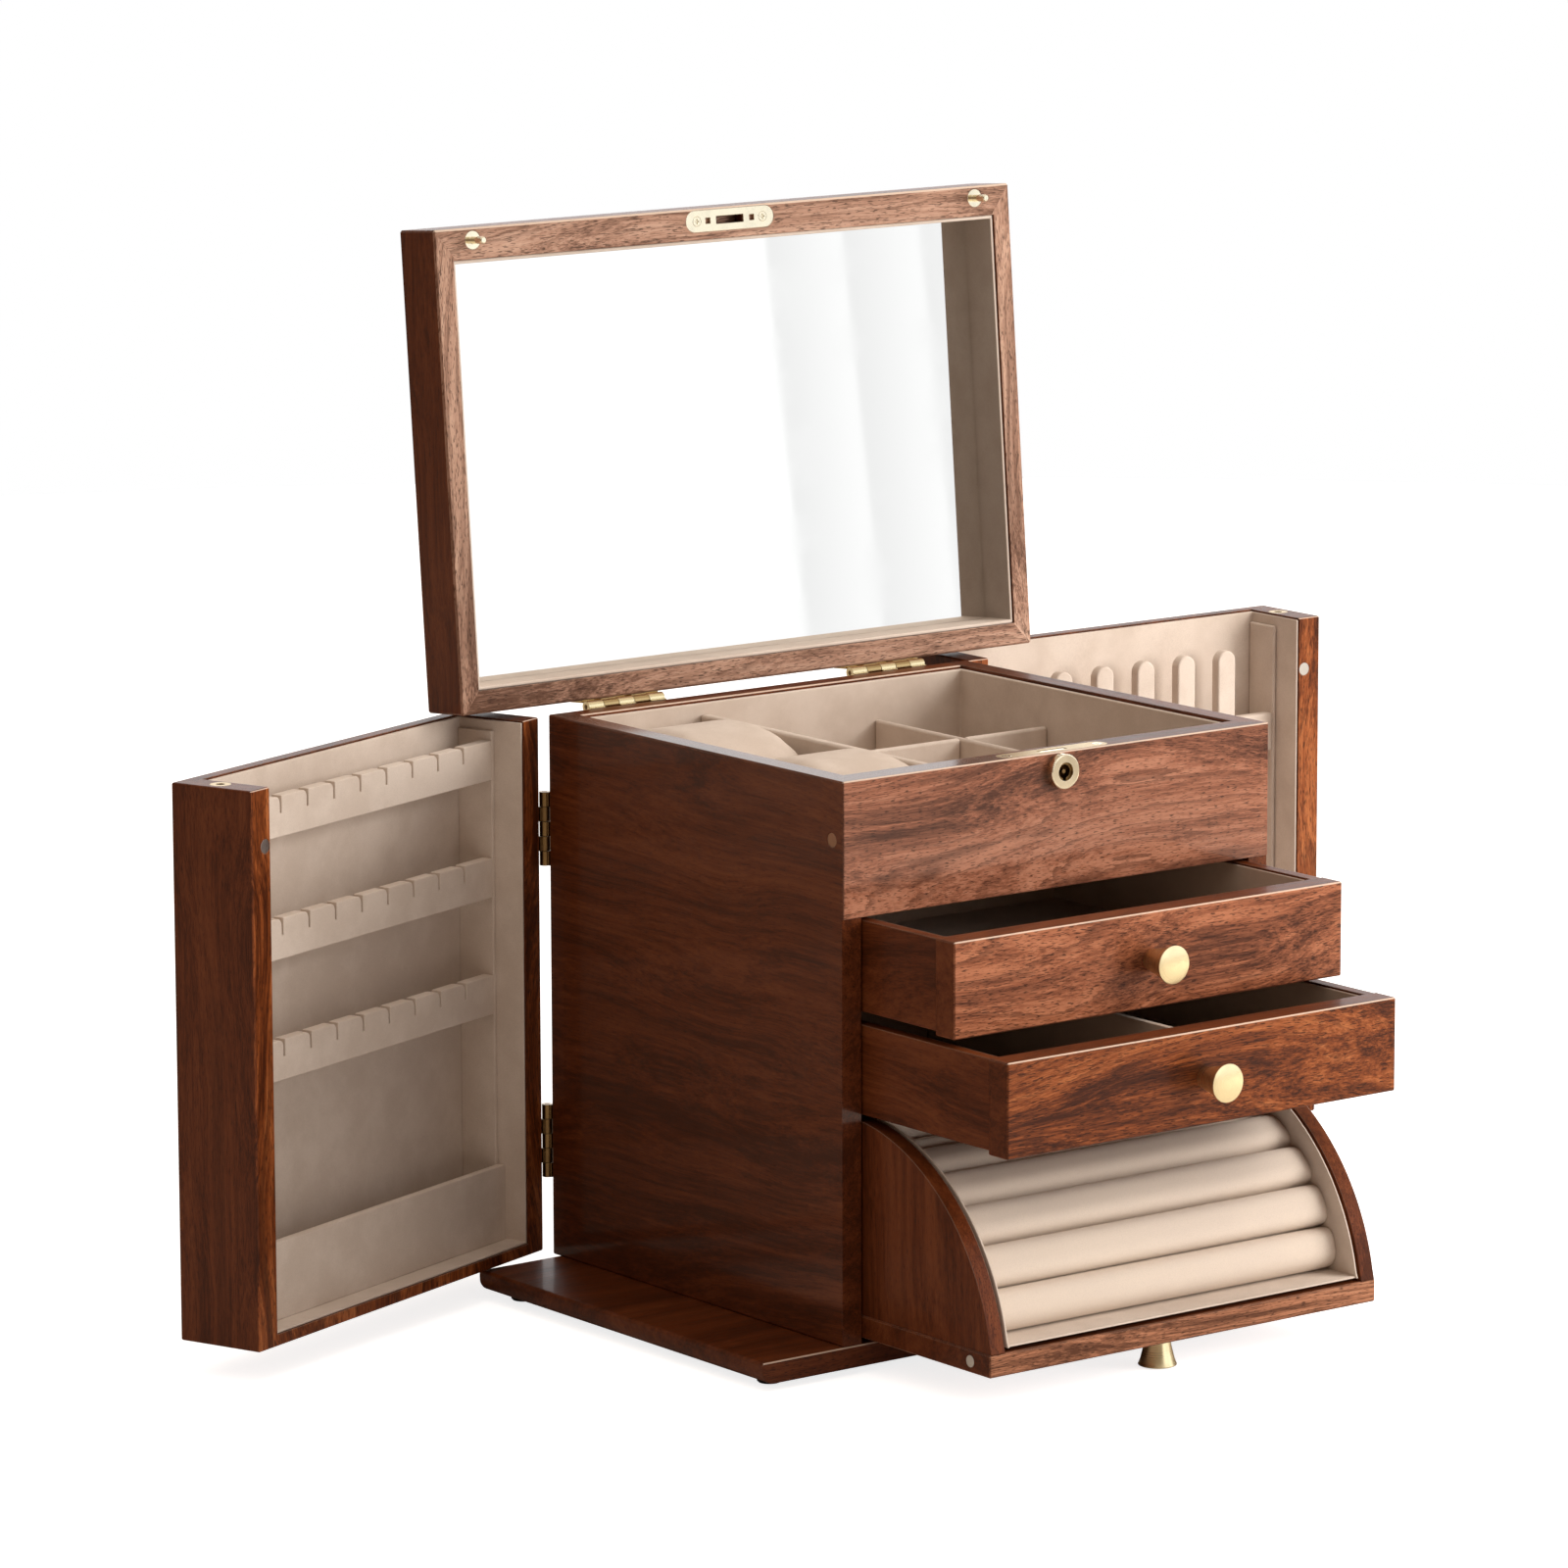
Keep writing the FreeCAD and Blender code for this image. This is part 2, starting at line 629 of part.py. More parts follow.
# ---- lid -------------------------------------------------------------------------------------
def lid_rails():
    """Four mitred rails, in the order front, back, left, right."""
    half = OVERALL_W / 2
    y0, y1 = LID_Y
    inner_x = half - LID_SIDE_T
    inner_y0 = y0 + LID_FRONT_T
    inner_y1 = y1 - LID_BACK_T
    front = [(-half, y0), (half, y0), (inner_x, inner_y0), (-inner_x, inner_y0)]
    back = [(-half, y1), (-inner_x, inner_y1), (inner_x, inner_y1), (half, y1)]
    left = [(-half, y0), (-inner_x, inner_y0), (-inner_x, inner_y1), (-half, y1)]
    right = [(-x, y) for x, y in left]
    outer = board(around(0, OVERALL_W), LID_Y, LID_Z, 0.8)
    return [prism_z(outline, LID_Z).common(outer) for outline in (front, back, left, right)]


def lid_inside(inset=0.0):
    x = OVERALL_W / 2 - LID_SIDE_T - inset
    y = (LID_Y[0] + LID_FRONT_T + inset, LID_Y[1] - LID_BACK_T - inset)
    return (-x, x), y


def lid_frame():
    front, back, left, right = lid_rails()
    strike = plate_outline(STRIKE_PLATE, LID_Z[0], FIT)
    bolt_room = block(around(0, STRIKE_SLOT[0]), around(LOCK_Y, STRIKE_SLOT[1]), (LID_Z[0], LID_Z[0] + 6))
    front = cut_all(front, [strike, bolt_room] + strike_screws(FIT) + locating_pins(FIT))
    for hinge in lid_hinges():
        back = cut_all(back, hinge.moving_screws(FIT))
    return [front, back, left, right]


def lid_top_panel():
    x, y = lid_inside()
    return block(x, y, (LID_Z[1] - LID_PANEL_T, LID_Z[1]))


def lid_mirror():
    x, y = lid_inside(LINING_T + 0.1)
    z = LID_Z[0] + MIRROR_DEPTH
    return block(x, y, (z, z + MIRROR_T))


def lid_lining():
    """Velvet lining round the inside of the lid and behind the glass."""
    x, y = lid_inside()
    top = LID_Z[1] - LID_PANEL_T
    outer = block(x, y, (LID_Z[0] + 0.8, top))
    inner_x, inner_y = lid_inside(LINING_T)
    glass_top = LID_Z[0] + MIRROR_DEPTH + MIRROR_T
    return outer.cut(block(inner_x, inner_y, (LID_Z[0], glass_top)))


def strike_screws(play=0.0):
    return [screw_at((x, LOCK_Y, LID_Z[0]), (0, 0, 1), play) for x in (-17.1, 17.1)]


def lid_strike_plate():
    """Plate with a slot for the bolt and two small square holes."""
    plate = plate_outline(STRIKE_PLATE, LID_Z[0])
    through = (LID_Z[0] - 1, LID_Z[0] + 5)
    slot = block(around(0, STRIKE_SLOT[0]), around(LOCK_Y, STRIKE_SLOT[1]), through)
    hole_y = around(LOCK_Y, STRIKE_HOLE)
    holes = [block(around(x, STRIKE_HOLE), hole_y, through) for x in (-STRIKE_HOLE_X, STRIKE_HOLE_X)]
    return cut_all(plate, [slot] + holes + strike_screws(FIT))


def locating_pin(x, play):
    """A pin through a brass disc; the disc is flush with the rim of the lid."""
    rim = LID_Z[0]
    disc = rod(LOCATING_DISC_R + play, (x, LOCATING_Y, rim - play), (x, LOCATING_Y, rim + 1.5 + play))
    tip_z = rim - LOCATING_PIN_L
    pin = rod(LOCATING_PIN_R + play, (x, LOCATING_Y, tip_z), (x, LOCATING_Y, rim + 6 + play))
    if not play:
        ring = [edge for edge in pin.Edges if abs(edge.CenterOfMass.z - tip_z) < 0.01 and edge.Length > 5]
        pin = pin.makeFillet(0.7, ring)
    return fused([disc, pin])


def locating_pins(play=0.0):
    """Two pins that drop into the doors and hold them shut under the lid."""
    return [locating_pin(x, play) for x in (-LOCATING_X, LOCATING_X)]


# ---- doors -----------------------------------------------------------------------------------
def door_outer():
    """The whole outside of a shut right door, with its edges rounded."""
    shape = block(DOOR_X, DOOR_Y, DOOR_Z)
    return shape.makeFillet(DOOR_ROUND, shape.Edges)


def door_end_outline(outer_y, inner_y):
    """Plan of an end wall that is mitred to the outer panel."""
    x0, x1 = DOOR_X
    step = DOOR_PANEL_T if inner_y > outer_y else -DOOR_PANEL_T
    seat = x1 - DOOR_PANEL_T
    return [(x0, outer_y), (x1, outer_y), (seat, outer_y + step), (seat, inner_y), (x0, inner_y)]


def door_frame():
    """Free-end wall, hinge-end wall and bottom wall; the top is left open under the lid."""
    y0, y1 = DOOR_Y
    outer = door_outer()
    free_end = prism_z(door_end_outline(y0, y0 + DOOR_WALL_T), DOOR_Z).common(outer)
    hinge_end = prism_z(door_end_outline(y1, y1 - DOOR_HINGE_WALL_T), DOOR_Z).common(outer)
    floor = block((DOOR_X[0], DOOR_X[1] - DOOR_PANEL_T), (y0 + DOOR_WALL_T, y1 - DOOR_HINGE_WALL_T),
                  (DOOR_Z[0], DOOR_Z[0] + DOOR_FLOOR_T)).common(outer)
    free_end = cut_all(free_end, [door_magnet(FIT), socket_body(FIT)])
    for hinge in door_hinges(1):
        hinge_end = cut_all(hinge_end, hinge.moving_screws(FIT))
    return [free_end, hinge_end, floor]


def door_panel():
    y0, y1 = DOOR_Y
    x0 = DOOR_X[1] - DOOR_PANEL_T
    x1 = DOOR_X[1]
    outline = [(x0, y0 + DOOR_PANEL_T), (x1, y0), (x1, y1), (x0, y1 - DOOR_PANEL_T)]
    return prism_z(outline, DOOR_Z).common(door_outer())


def door_inside():
    """Limits in y between the two end walls of a door."""
    return (DOOR_Y[0] + DOOR_WALL_T, DOOR_Y[1] - DOOR_HINGE_WALL_T)


def door_well():
    """Inside limits of a lined door: x, y and floor height."""
    x = (DOOR_X[0], DOOR_X[1] - DOOR_PANEL_T - PANEL_LINING_T)
    y0, y1 = door_inside()
    return x, (y0 + DOOR_LINING_T, y1 - DOOR_LINING_T), DOOR_Z[0] + DOOR_FLOOR_T + DOOR_LINING_T


def door_lining():
    outer_x = (DOOR_X[0] + 0.6, DOOR_X[1] - DOOR_PANEL_T)
    outer = block(outer_x, door_inside(), (DOOR_Z[0] + DOOR_FLOOR_T, DOOR_Z[1] - 0.8))
    x, inner_y, floor = door_well()
    return outer.cut(block(x, inner_y, (floor, DOOR_Z[1] + 1)))


def rack_side_boards():
    """Lined boards against both end walls that carry the bars of a door."""
    x, y, floor = door_well()
    z = (floor, CASE_Z + 222.0)
    depth = (RACK_X, x[1])
    return [block(depth, (y[0], y[0] + RACK_BOARD_T), z), block(depth, (y[1] - RACK_BOARD_T, y[1]), z)]


def rack_span():
    _, y, _ = door_well()
    return (y[0] + RACK_BOARD_T, y[1] - RACK_BOARD_T)


def slit(y, top):
    """A slit from the top of a bar, with the corner beside it rounded."""
    x = (RACK_X - 1, RACK_X + RACK_T + 1)
    edge = y - SLIT_W / 2
    corner = block(x, (edge - SHOULDER_R, edge + 0.1), (top - SHOULDER_R, top + 1))
    centre = (edge - SHOULDER_R, top - SHOULDER_R)
    shoulder = corner.cut(rod(SHOULDER_R, (x[0], *centre), (x[1], *centre)))
    return [block(x, around(y, SLIT_W), (top - SLIT_H, top + 1)), shoulder]


def earring_rack():
    """Three slitted bars between two side boards, and a pocket board below them."""
    bars = []
    for top in BAR_TOPS:
        bar = block((RACK_X, RACK_X + RACK_T), rack_span(), (top - BAR_H, top))
        for index in range(SLIT_COUNT):
            bar = cut_all(bar, slit(SLIT_FIRST_Y - index * SLIT_PITCH, top))
        bars.append(bar)
    return rack_side_boards() + bars + [door_pocket()]


def necklace_rack():
    """A rail with round-topped fingers between two side boards, and a pocket board below."""
    x = (RACK_X, RACK_X + RACK_T)
    shapes = [block(x, rack_span(), RACK_RAIL_Z)]
    shoulder = FINGER_TOP - FINGER_W / 2
    for index in range(FINGER_COUNT):
        y = FINGER_FIRST_Y + index * FINGER_PITCH
        shapes.append(block(x, around(y, FINGER_W), (RACK_RAIL_Z[1], shoulder)))
        shapes.append(rod(FINGER_W / 2, (x[0], y, shoulder), (x[1], y, shoulder)))
    return rack_side_boards() + [fused(shapes), door_pocket()]


def door_pocket():
    _, y, floor = door_well()
    return block(POCKET_X, y, (floor, POCKET_TOP))


def door_magnet(play=0.0):
    x = DOOR_X[0]
    end = (x + MAGNET_T + play, MAGNET_Y, MAGNET_Z)
    return rod(MAGNET_R + play, (x - 2 * play, MAGNET_Y, MAGNET_Z), end)


def socket_body(play=0.0):
    top = DOOR_Z[1]
    bottom = (LOCATING_X, LOCATING_Y, top - SOCKET_H - play)
    return rod(SOCKET_R + play, bottom, (LOCATING_X, LOCATING_Y, top + 2 * play))


def pin_socket():
    """Brass cup in the top of a door that takes the lid's locating pin."""
    bottom = (LOCATING_X, LOCATING_Y, DOOR_Z[1] - SOCKET_H + 1)
    bore = rod(SOCKET_BORE_R, bottom, (LOCATING_X, LOCATING_Y, DOOR_Z[1] + 1))
    return socket_body().cut(bore)


def door_nodes(side, rack_name, rack_shapes):
    """Every node of one door, drawn shut."""
    name = "right_door" if side > 0 else "left_door"
    pieces = {
        "frame": door_frame(),
        "panel": [door_panel()],
        "lining": [door_lining()],
        rack_name: rack_shapes,
        "magnet": [door_magnet()],
        "pin_socket": [pin_socket()],
    }
    if side < 0:
        pieces = {key: [mirrored(shape) for shape in shapes] for key, shapes in pieces.items()}
    hinges = door_hinges(side)
    pieces["hinge_leaves"] = [hinge.moving_leaf() for hinge in hinges]
    pieces["hinge_screws"] = [shape for hinge in hinges for shape in hinge.moving_screws()]
    return {f"{name}_{key}": shapes for key, shapes in pieces.items()}


# ---- drawers ---------------------------------------------------------------------------------
def knob(face_y, z):
    """A brass knob on a front face that looks towards -Y."""
    rim_y = face_y - KNOB_L + KNOB_EDGE
    neck = cone(KNOB_NECK_R, KNOB_FACE_R, (0, face_y, z), (0, rim_y, z))
    lip = cone(KNOB_FACE_R, KNOB_FACE_R - KNOB_EDGE, (0, rim_y, z), (0, face_y - KNOB_L, z))
    stud = rod(KNOB_STUD_R, (0, face_y, z), (0, face_y + KNOB_STUD_L, z))
    return fused([neck, lip, stud])


def knob_hole(face_y, z):
    reach = KNOB_STUD_L + 0.5
    return rod(KNOB_STUD_R + FIT, (0, face_y - 1, z), (0, face_y + reach, z))


def drawer_front(front_z):
    y = (FRONT, FRONT + DRAWER_FRONT_T)
    panel = board(around(0, 2 * DRAWER_HALF_W), y, front_z)
    return panel.cut(knob_hole(FRONT, sum(front_z) / 2))


def drawer_box(front_z):
    """Two sides, a back and a floor."""
    y0 = FRONT + DRAWER_FRONT_T
    bottom = front_z[0] + SHELF_ABOVE_FRONT + DRAWER_LIFT
    z = (bottom, front_z[1] - 0.3)
    inner_x = DRAWER_SIDE_X - DRAWER_WALL_T
    side = block((inner_x, DRAWER_SIDE_X), (y0, DRAWER_BACK_Y), z)
    back = block((-inner_x, inner_x), (DRAWER_BACK_Y - DRAWER_WALL_T, DRAWER_BACK_Y), z)
    floor = block((-inner_x, inner_x), (y0, DRAWER_BACK_Y - DRAWER_WALL_T), (bottom, bottom + DRAWER_FLOOR_T))
    return both_sides(side) + [back, floor]


def drawer_lining(front_z, divided):
    """Velvet-covered liner, with a middle divider in the lower drawer."""
    x = DRAWER_SIDE_X - DRAWER_WALL_T
    y = (FRONT + DRAWER_FRONT_T, DRAWER_BACK_Y - DRAWER_WALL_T)
    floor = front_z[0] + SHELF_ABOVE_FRONT + DRAWER_LIFT + DRAWER_FLOOR_T
    top = front_z[1] - 1.1
    outer = block((-x, x), y, (floor, top))
    inner_x = x - DRAWER_LINING_T
    inner_y = (y[0] + DRAWER_LINING_T, y[1] - DRAWER_LINING_T)
    bed = floor + DRAWER_LINING_T
    shapes = [outer.cut(block((-inner_x, inner_x), inner_y, (bed, top + 1)))]
    if divided:
        shapes.append(block(around(0, DIVIDER_T), inner_y, (bed, DRAWER_DIVIDER_TOP)))
    return shapes


def drawer_nodes(name, front_z, divided):
    return {
        f"{name}_front": [drawer_front(front_z)],
        f"{name}_box": drawer_box(front_z),
        f"{name}_lining": drawer_lining(front_z, divided),
        f"{name}_knob": [knob(FRONT, sum(front_z) / 2)],
    }


# ---- ring tray -------------------------------------------------------------------------------
def ring_point(x, dy, dz):
    """A point given from the tray's pivot."""
    return V(x, PIVOT_Y + dy, PIVOT_Z + dz)


def ring_profile(x, dy0, dz0):
    """Quarter-round side plate starting at x, with its straight edges at dy0 and dz0."""
    corners = [ring_point(x, dy0, RING_TOP), ring_point(x, dy0, dz0), ring_point(x, RING_REAR, dz0),
               ring_point(x, *ARC_REAR)]
    arc_points = [ring_point(x, *point) for point in (ARC_REAR, ARC_MIDDLE, ARC_FRONT)]
    arc = Part.Arc(*arc_points).toShape()
    closing = Part.makeLine(ring_point(x, *ARC_FRONT), corners[0])
    straight = [Part.makeLine(a, b) for a, b in zip(corners, corners[1:])]
    return Part.Face(Part.Wire(straight + [arc, closing]))


def ring_tray_front():
    x = around(0, 2 * DRAWER_HALF_W)
    y = (PIVOT_Y + RING_FACE, PIVOT_Y + RING_BACK_FACE)
    panel = board(x, y, (PIVOT_Z + RING_FOOT, PIVOT_Z + RING_TOP))
    hole = rod(PIVOT_PIN_R + FIT, (93.0, PIVOT_Y, PIVOT_Z), (101.0, PIVOT_Y, PIVOT_Z))
    cutters = both_sides(hole) + both_sides(ring_magnet(FIT))
    return cut_all(panel, cutters + [knob_hole(FRONT, PIVOT_Z + RING_KNOB_UP)])


def ring_magnet(play=0.0):
    y = PIVOT_Y + TRAY_MAGNET[0]
    z = PIVOT_Z + TRAY_MAGNET[1]
    x = DRAWER_HALF_W
    return rod(TRAY_MAGNET_R + play, (x - MAGNET_T - play, y, z), (x + 2 * play, y, z))


def ring_tray_carcass():
    """Two quarter-round sides and the floor between them."""
    inner_x = RING_SIDE_X - RING_SIDE_T
    side = ring_profile(inner_x, RING_BACK_FACE, RING_FLOOR[0]).extrude(V(RING_SIDE_T, 0, 0))
    floor = block((-inner_x, inner_x), (PIVOT_Y + RING_BACK_FACE, PIVOT_Y + RING_REAR),
                  (PIVOT_Z + RING_FLOOR[0], PIVOT_Z + RING_FLOOR[1]))
    return both_sides(side) + [floor]


def ring_tray_lining():
    """Lining on both sides, the back of the front and the floor, in one piece."""
    x1 = RING_SIDE_X - RING_SIDE_T
    x0 = x1 - LINING_T
    dz0 = RING_FLOOR[1]
    cheek = ring_profile(x0, RING_BACK_FACE, dz0).extrude(V(LINING_T, 0, 0))
    bed_y = (PIVOT_Y + RING_BACK_FACE, PIVOT_Y + RING_REAR)
    bed = block((-x1, x1), bed_y, (PIVOT_Z + dz0, PIVOT_Z + dz0 + LINING_T))
    y0 = PIVOT_Y + RING_BACK_FACE
    wall = block((-x1, x1), (y0, y0 + LINING_T), (PIVOT_Z + dz0, PIVOT_Z + RING_TOP - 1.0))
    return fused([cheek, mirrored(cheek), bed, wall])


def ring_sector(low_deg, high_deg, radius, half):
    """A wedge about the pivot, as wide as the tray; angles run up from the horizontal."""
    reach = radius / cos(radians(high_deg - low_deg) / 2)
    corners = [(0.0, 0.0)]
    corners += [(reach * cos(radians(deg)), reach * sin(radians(deg))) for deg in (low_deg, high_deg)]
    points = [ring_point(-half, *corner) for corner in corners]
    return Part.Face(Part.makePolygon(points + points[:1])).extrude(V(2 * half, 0, 0))


def ring_tray_rolls():
    """Soft rolls pressed side by side along an arc, and a soft pad behind the last one; rings are
    pushed into the slits between them."""
    half = RING_SIDE_X - RING_SIDE_T - LINING_T - 0.5
    crown_r = ROLL_PATH_R + ROLL_R
    slit = degrees(ROLL_GAP / crown_r) / 2
    rolls = []
    for index in range(ROLL_COUNT):
        middle = ROLL_FIRST_DEG + index * ROLL_STEP_DEG
        y = PIVOT_Y + ROLL_PATH_R * cos(radians(middle))
        z = PIVOT_Z + ROLL_PATH_R * sin(radians(middle))
        low = middle - ROLL_STEP_DEG / 2 + slit
        high = middle + ROLL_STEP_DEG / 2 - slit
        roll = rod(ROLL_R, (-half, y, z), (half, y, z))
        rolls.append(roll.common(ring_sector(low, high, crown_r + 2, half)))
    shell = rod(crown_r, (-half, PIVOT_Y, PIVOT_Z), (half, PIVOT_Y, PIVOT_Z))
    shell = shell.cut(rod(BED_R + 0.1, (-half - 1, PIVOT_Y, PIVOT_Z), (half + 1, PIVOT_Y, PIVOT_Z)))
    pad_top = ROLL_FIRST_DEG - ROLL_STEP_DEG / 2 - slit
    return rolls + [shell.common(ring_sector(ROLL_PAD_DEG, pad_top, crown_r + 2, half))]


def ring_tray_bed():
    """Curved card under the rolls."""
    half = RING_SIDE_X - RING_SIDE_T - LINING_T - 0.5
    y_front = RING_BACK_FACE + LINING_T
    z_low = RING_FLOOR[1] + LINING_T
    axis = ((-half, PIVOT_Y, PIVOT_Z), (half, PIVOT_Y, PIVOT_Z))
    ring = rod(BED_R, *axis).cut(rod(BED_R - BED_T, *axis))
    quarter = block((-half, half), (PIVOT_Y + y_front, PIVOT_Y + BED_R), (PIVOT_Z + z_low, PIVOT_Z + BED_R))
    return [ring.common(quarter)]


# ---- the whole chest -------------------------------------------------------------------------
def case_nodes():
    hinges = all_case_hinges()
    screws = [shape for hinge in hinges for shape in hinge.case_screws()]
    return {
        "base_plate": [base_plate()],
        "rubber_feet": rubber_feet(),
        "right_side_panel": [side_panel()],
        "left_side_panel": [mirrored(side_panel())],
        "back_panel": [back_panel()],
        "front_fascia": [front_fascia()],
        "shelf_boards": shelf_boards(),
        "top_tray_lining": [top_tray_lining()],
        "top_tray_dividers": top_tray_dividers(),
        "tray_pivot_pins": tray_pivot_pins(),
        "case_magnets": case_magnets(),
        "case_hinge_leaves": [hinge.case_leaf() for hinge in hinges],
        "hinge_pins": [hinge.pin() for hinge in hinges],
        "case_screws": screws + lock_screws(),
        "lock_case": [lock_case()],
        "lock_face_plate": [lock_face_plate()],
        "key_escutcheon": [key_escutcheon()],
    }


def lid_nodes():
    hinges = lid_hinges()
    screws = [shape for hinge in hinges for shape in hinge.moving_screws()]
    return {
        "lid_frame": lid_frame(),
        "lid_top_panel": [lid_top_panel()],
        "lid_mirror": [lid_mirror()],
        "lid_lining": [lid_lining()],
        "lid_strike_plate": [lid_strike_plate()],
        "lid_screws": screws + strike_screws(),
        "lid_locating_pins": locating_pins(),
        "lid_hinge_leaves": [hinge.moving_leaf() for hinge in hinges],
    }


def ring_tray_nodes():
    return {
        "ring_tray_front": [ring_tray_front()],
        "ring_tray_carcass": ring_tray_carcass(),
        "ring_tray_lining": [ring_tray_lining()],
        "ring_tray_bed": ring_tray_bed(),
        "ring_tray_rolls": ring_tray_rolls(),
        "ring_tray_magnets": both_sides(ring_magnet()),
        "ring_tray_knob": [knob(FRONT, PIVOT_Z + RING_KNOB_UP)],
    }


def turned(nodes, centre, axis, angle_deg):
    """The same nodes, turned about an axis."""
    centre = V(*centre)
    return {
        name: [shape.rotated(centre, axis, angle_deg) for shape in shapes]
        for name, shapes in nodes.items()
    }


def slid(nodes, distance):
    """The same nodes, drawn out towards the front."""
    step = V(0, -distance, 0)
    return {name: [shape.translated(step) for shape in shapes] for name, shapes in nodes.items()}


def whole_chest():
    nodes = case_nodes()
    nodes.update(watch_pillows())
    nodes["lock_barrel"] = [lock_barrel()]
    nodes["lock_bolt"] = [lock_bolt()]
    nodes.update(turned(lid_nodes(), (0, LID_AXIS_Y, LID_AXIS_Z), X_AXIS, -LID_OPEN_DEG))
    left = door_nodes(-1, "earring_rack", earring_rack())
    right = door_nodes(1, "necklace_rack", necklace_rack())
    nodes.update(turned(left, (-DOOR_AXIS_X, DOOR_AXIS_Y, 0), Z_AXIS, -LEFT_OPEN_DEG))
    nodes.update(turned(right, (DOOR_AXIS_X, DOOR_AXIS_Y, 0), Z_AXIS, RIGHT_OPEN_DEG))
    nodes.update(slid(drawer_nodes("upper_drawer", UPPER_Z, False), UPPER_OUT))
    nodes.update(slid(drawer_nodes("lower_drawer", LOWER_Z, True), LOWER_OUT))
    nodes.update(turned(ring_tray_nodes(), (0, PIVOT_Y, PIVOT_Z), X_AXIS, 90))
    return nodes


def export(nodes):
    os.makedirs("parts", exist_ok=True)
    for name, shapes in nodes.items():
        shape = shapes[0] if len(shapes) == 1 else Part.makeCompound(shapes)
        shape.exportStep(os.path.join("parts", name + ".step"))


export(whole_chest())
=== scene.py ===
"""Walnut jewellery chest: finishes, soft linings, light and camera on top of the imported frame."""

import json
from math import cos, pi, radians, sin

import bmesh
import bpy
from mathutils import Matrix, Vector, noise

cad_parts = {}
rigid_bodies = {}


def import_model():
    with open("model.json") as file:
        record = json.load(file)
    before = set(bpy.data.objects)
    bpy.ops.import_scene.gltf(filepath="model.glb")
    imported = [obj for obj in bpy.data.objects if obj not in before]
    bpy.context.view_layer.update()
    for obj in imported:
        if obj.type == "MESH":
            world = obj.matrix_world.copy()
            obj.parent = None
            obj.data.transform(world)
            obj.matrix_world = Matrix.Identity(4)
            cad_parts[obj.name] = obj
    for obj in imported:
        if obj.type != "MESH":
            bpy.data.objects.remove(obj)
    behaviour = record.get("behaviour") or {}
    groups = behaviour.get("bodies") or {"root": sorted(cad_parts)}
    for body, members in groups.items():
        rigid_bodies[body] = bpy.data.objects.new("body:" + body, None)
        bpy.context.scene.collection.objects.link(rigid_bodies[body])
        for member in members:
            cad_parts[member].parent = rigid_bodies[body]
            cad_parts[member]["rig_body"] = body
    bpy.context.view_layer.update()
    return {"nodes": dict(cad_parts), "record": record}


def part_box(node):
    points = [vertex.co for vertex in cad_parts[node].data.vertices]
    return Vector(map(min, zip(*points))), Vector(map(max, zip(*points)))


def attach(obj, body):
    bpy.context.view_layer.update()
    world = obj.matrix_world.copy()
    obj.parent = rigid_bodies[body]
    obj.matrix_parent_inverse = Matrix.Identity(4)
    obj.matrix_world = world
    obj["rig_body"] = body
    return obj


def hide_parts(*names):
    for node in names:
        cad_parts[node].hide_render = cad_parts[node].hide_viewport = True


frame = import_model()
NODES = frame["nodes"]

# ---- camera ----------------------------------------------------------------------------------
CAMERA_AT = Vector((-1.9055, -2.4178, 0.7741))
CAMERA_TARGET = Vector((-0.0564, 0.0090, 0.2177))
CAMERA_ROLL = radians(-0.18)
LENS_MM = 175.0
SENSOR_MM = 36.0

# ---- linear colours ---------------------------------------------------------------------------
# each walnut goes from its dark streaks to its light wood
WALNUT_RED = ((0.044, 0.0090, 0.0022), (0.220, 0.053, 0.0120), (0.410, 0.132, 0.040))
WALNUT_AMBER = ((0.055, 0.0140, 0.0055), (0.270, 0.084, 0.036), (0.470, 0.175, 0.085))
WALNUT_ROSE = ((0.075, 0.0230, 0.0110), (0.280, 0.100, 0.052), (0.440, 0.188, 0.110))
WALNUT_LIGHT = ((0.100, 0.0350, 0.0160), (0.400, 0.165, 0.085), (0.580, 0.280, 0.160))
# dark walnut; as the edge palette it is also painted shade on the faces turned away from the front
WALNUT_DARK_AND_SHADED = ((0.054, 0.0120, 0.0028), (0.112, 0.0250, 0.0060), (0.165, 0.043, 0.0120))
WALNUT_PINK = ((0.115, 0.052, 0.030), (0.360, 0.198, 0.132), (0.510, 0.315, 0.222))
# painted highlight: this light colour is mixed into the wood along the edges that face up and ahead
PAINTED_EDGE_HIGHLIGHT = (0.850, 0.660, 0.520)
VELVET = (0.680, 0.575, 0.490)
ROLL_VELVET = (0.715, 0.605, 0.505)
VELVET_DEEP = (0.530, 0.425, 0.345)
# painted highlight: paler velvet for the narrow rim faces of the linings
RIM_HIGHLIGHT_VELVET = (0.960, 0.900, 0.830)
BRASS_PALE = (0.970, 0.890, 0.690)
BRASS_WARM = (0.930, 0.800, 0.500)
# aged brass, also painted shade in the keyhole and painted dark reflection on the door hinges
BRASS_AGED_AND_SHADED = (0.210, 0.130, 0.055)
BRASS_WORN = (0.560, 0.410, 0.200)
STEEL = (0.720, 0.690, 0.650)
COPPERED = (0.440, 0.260, 0.170)

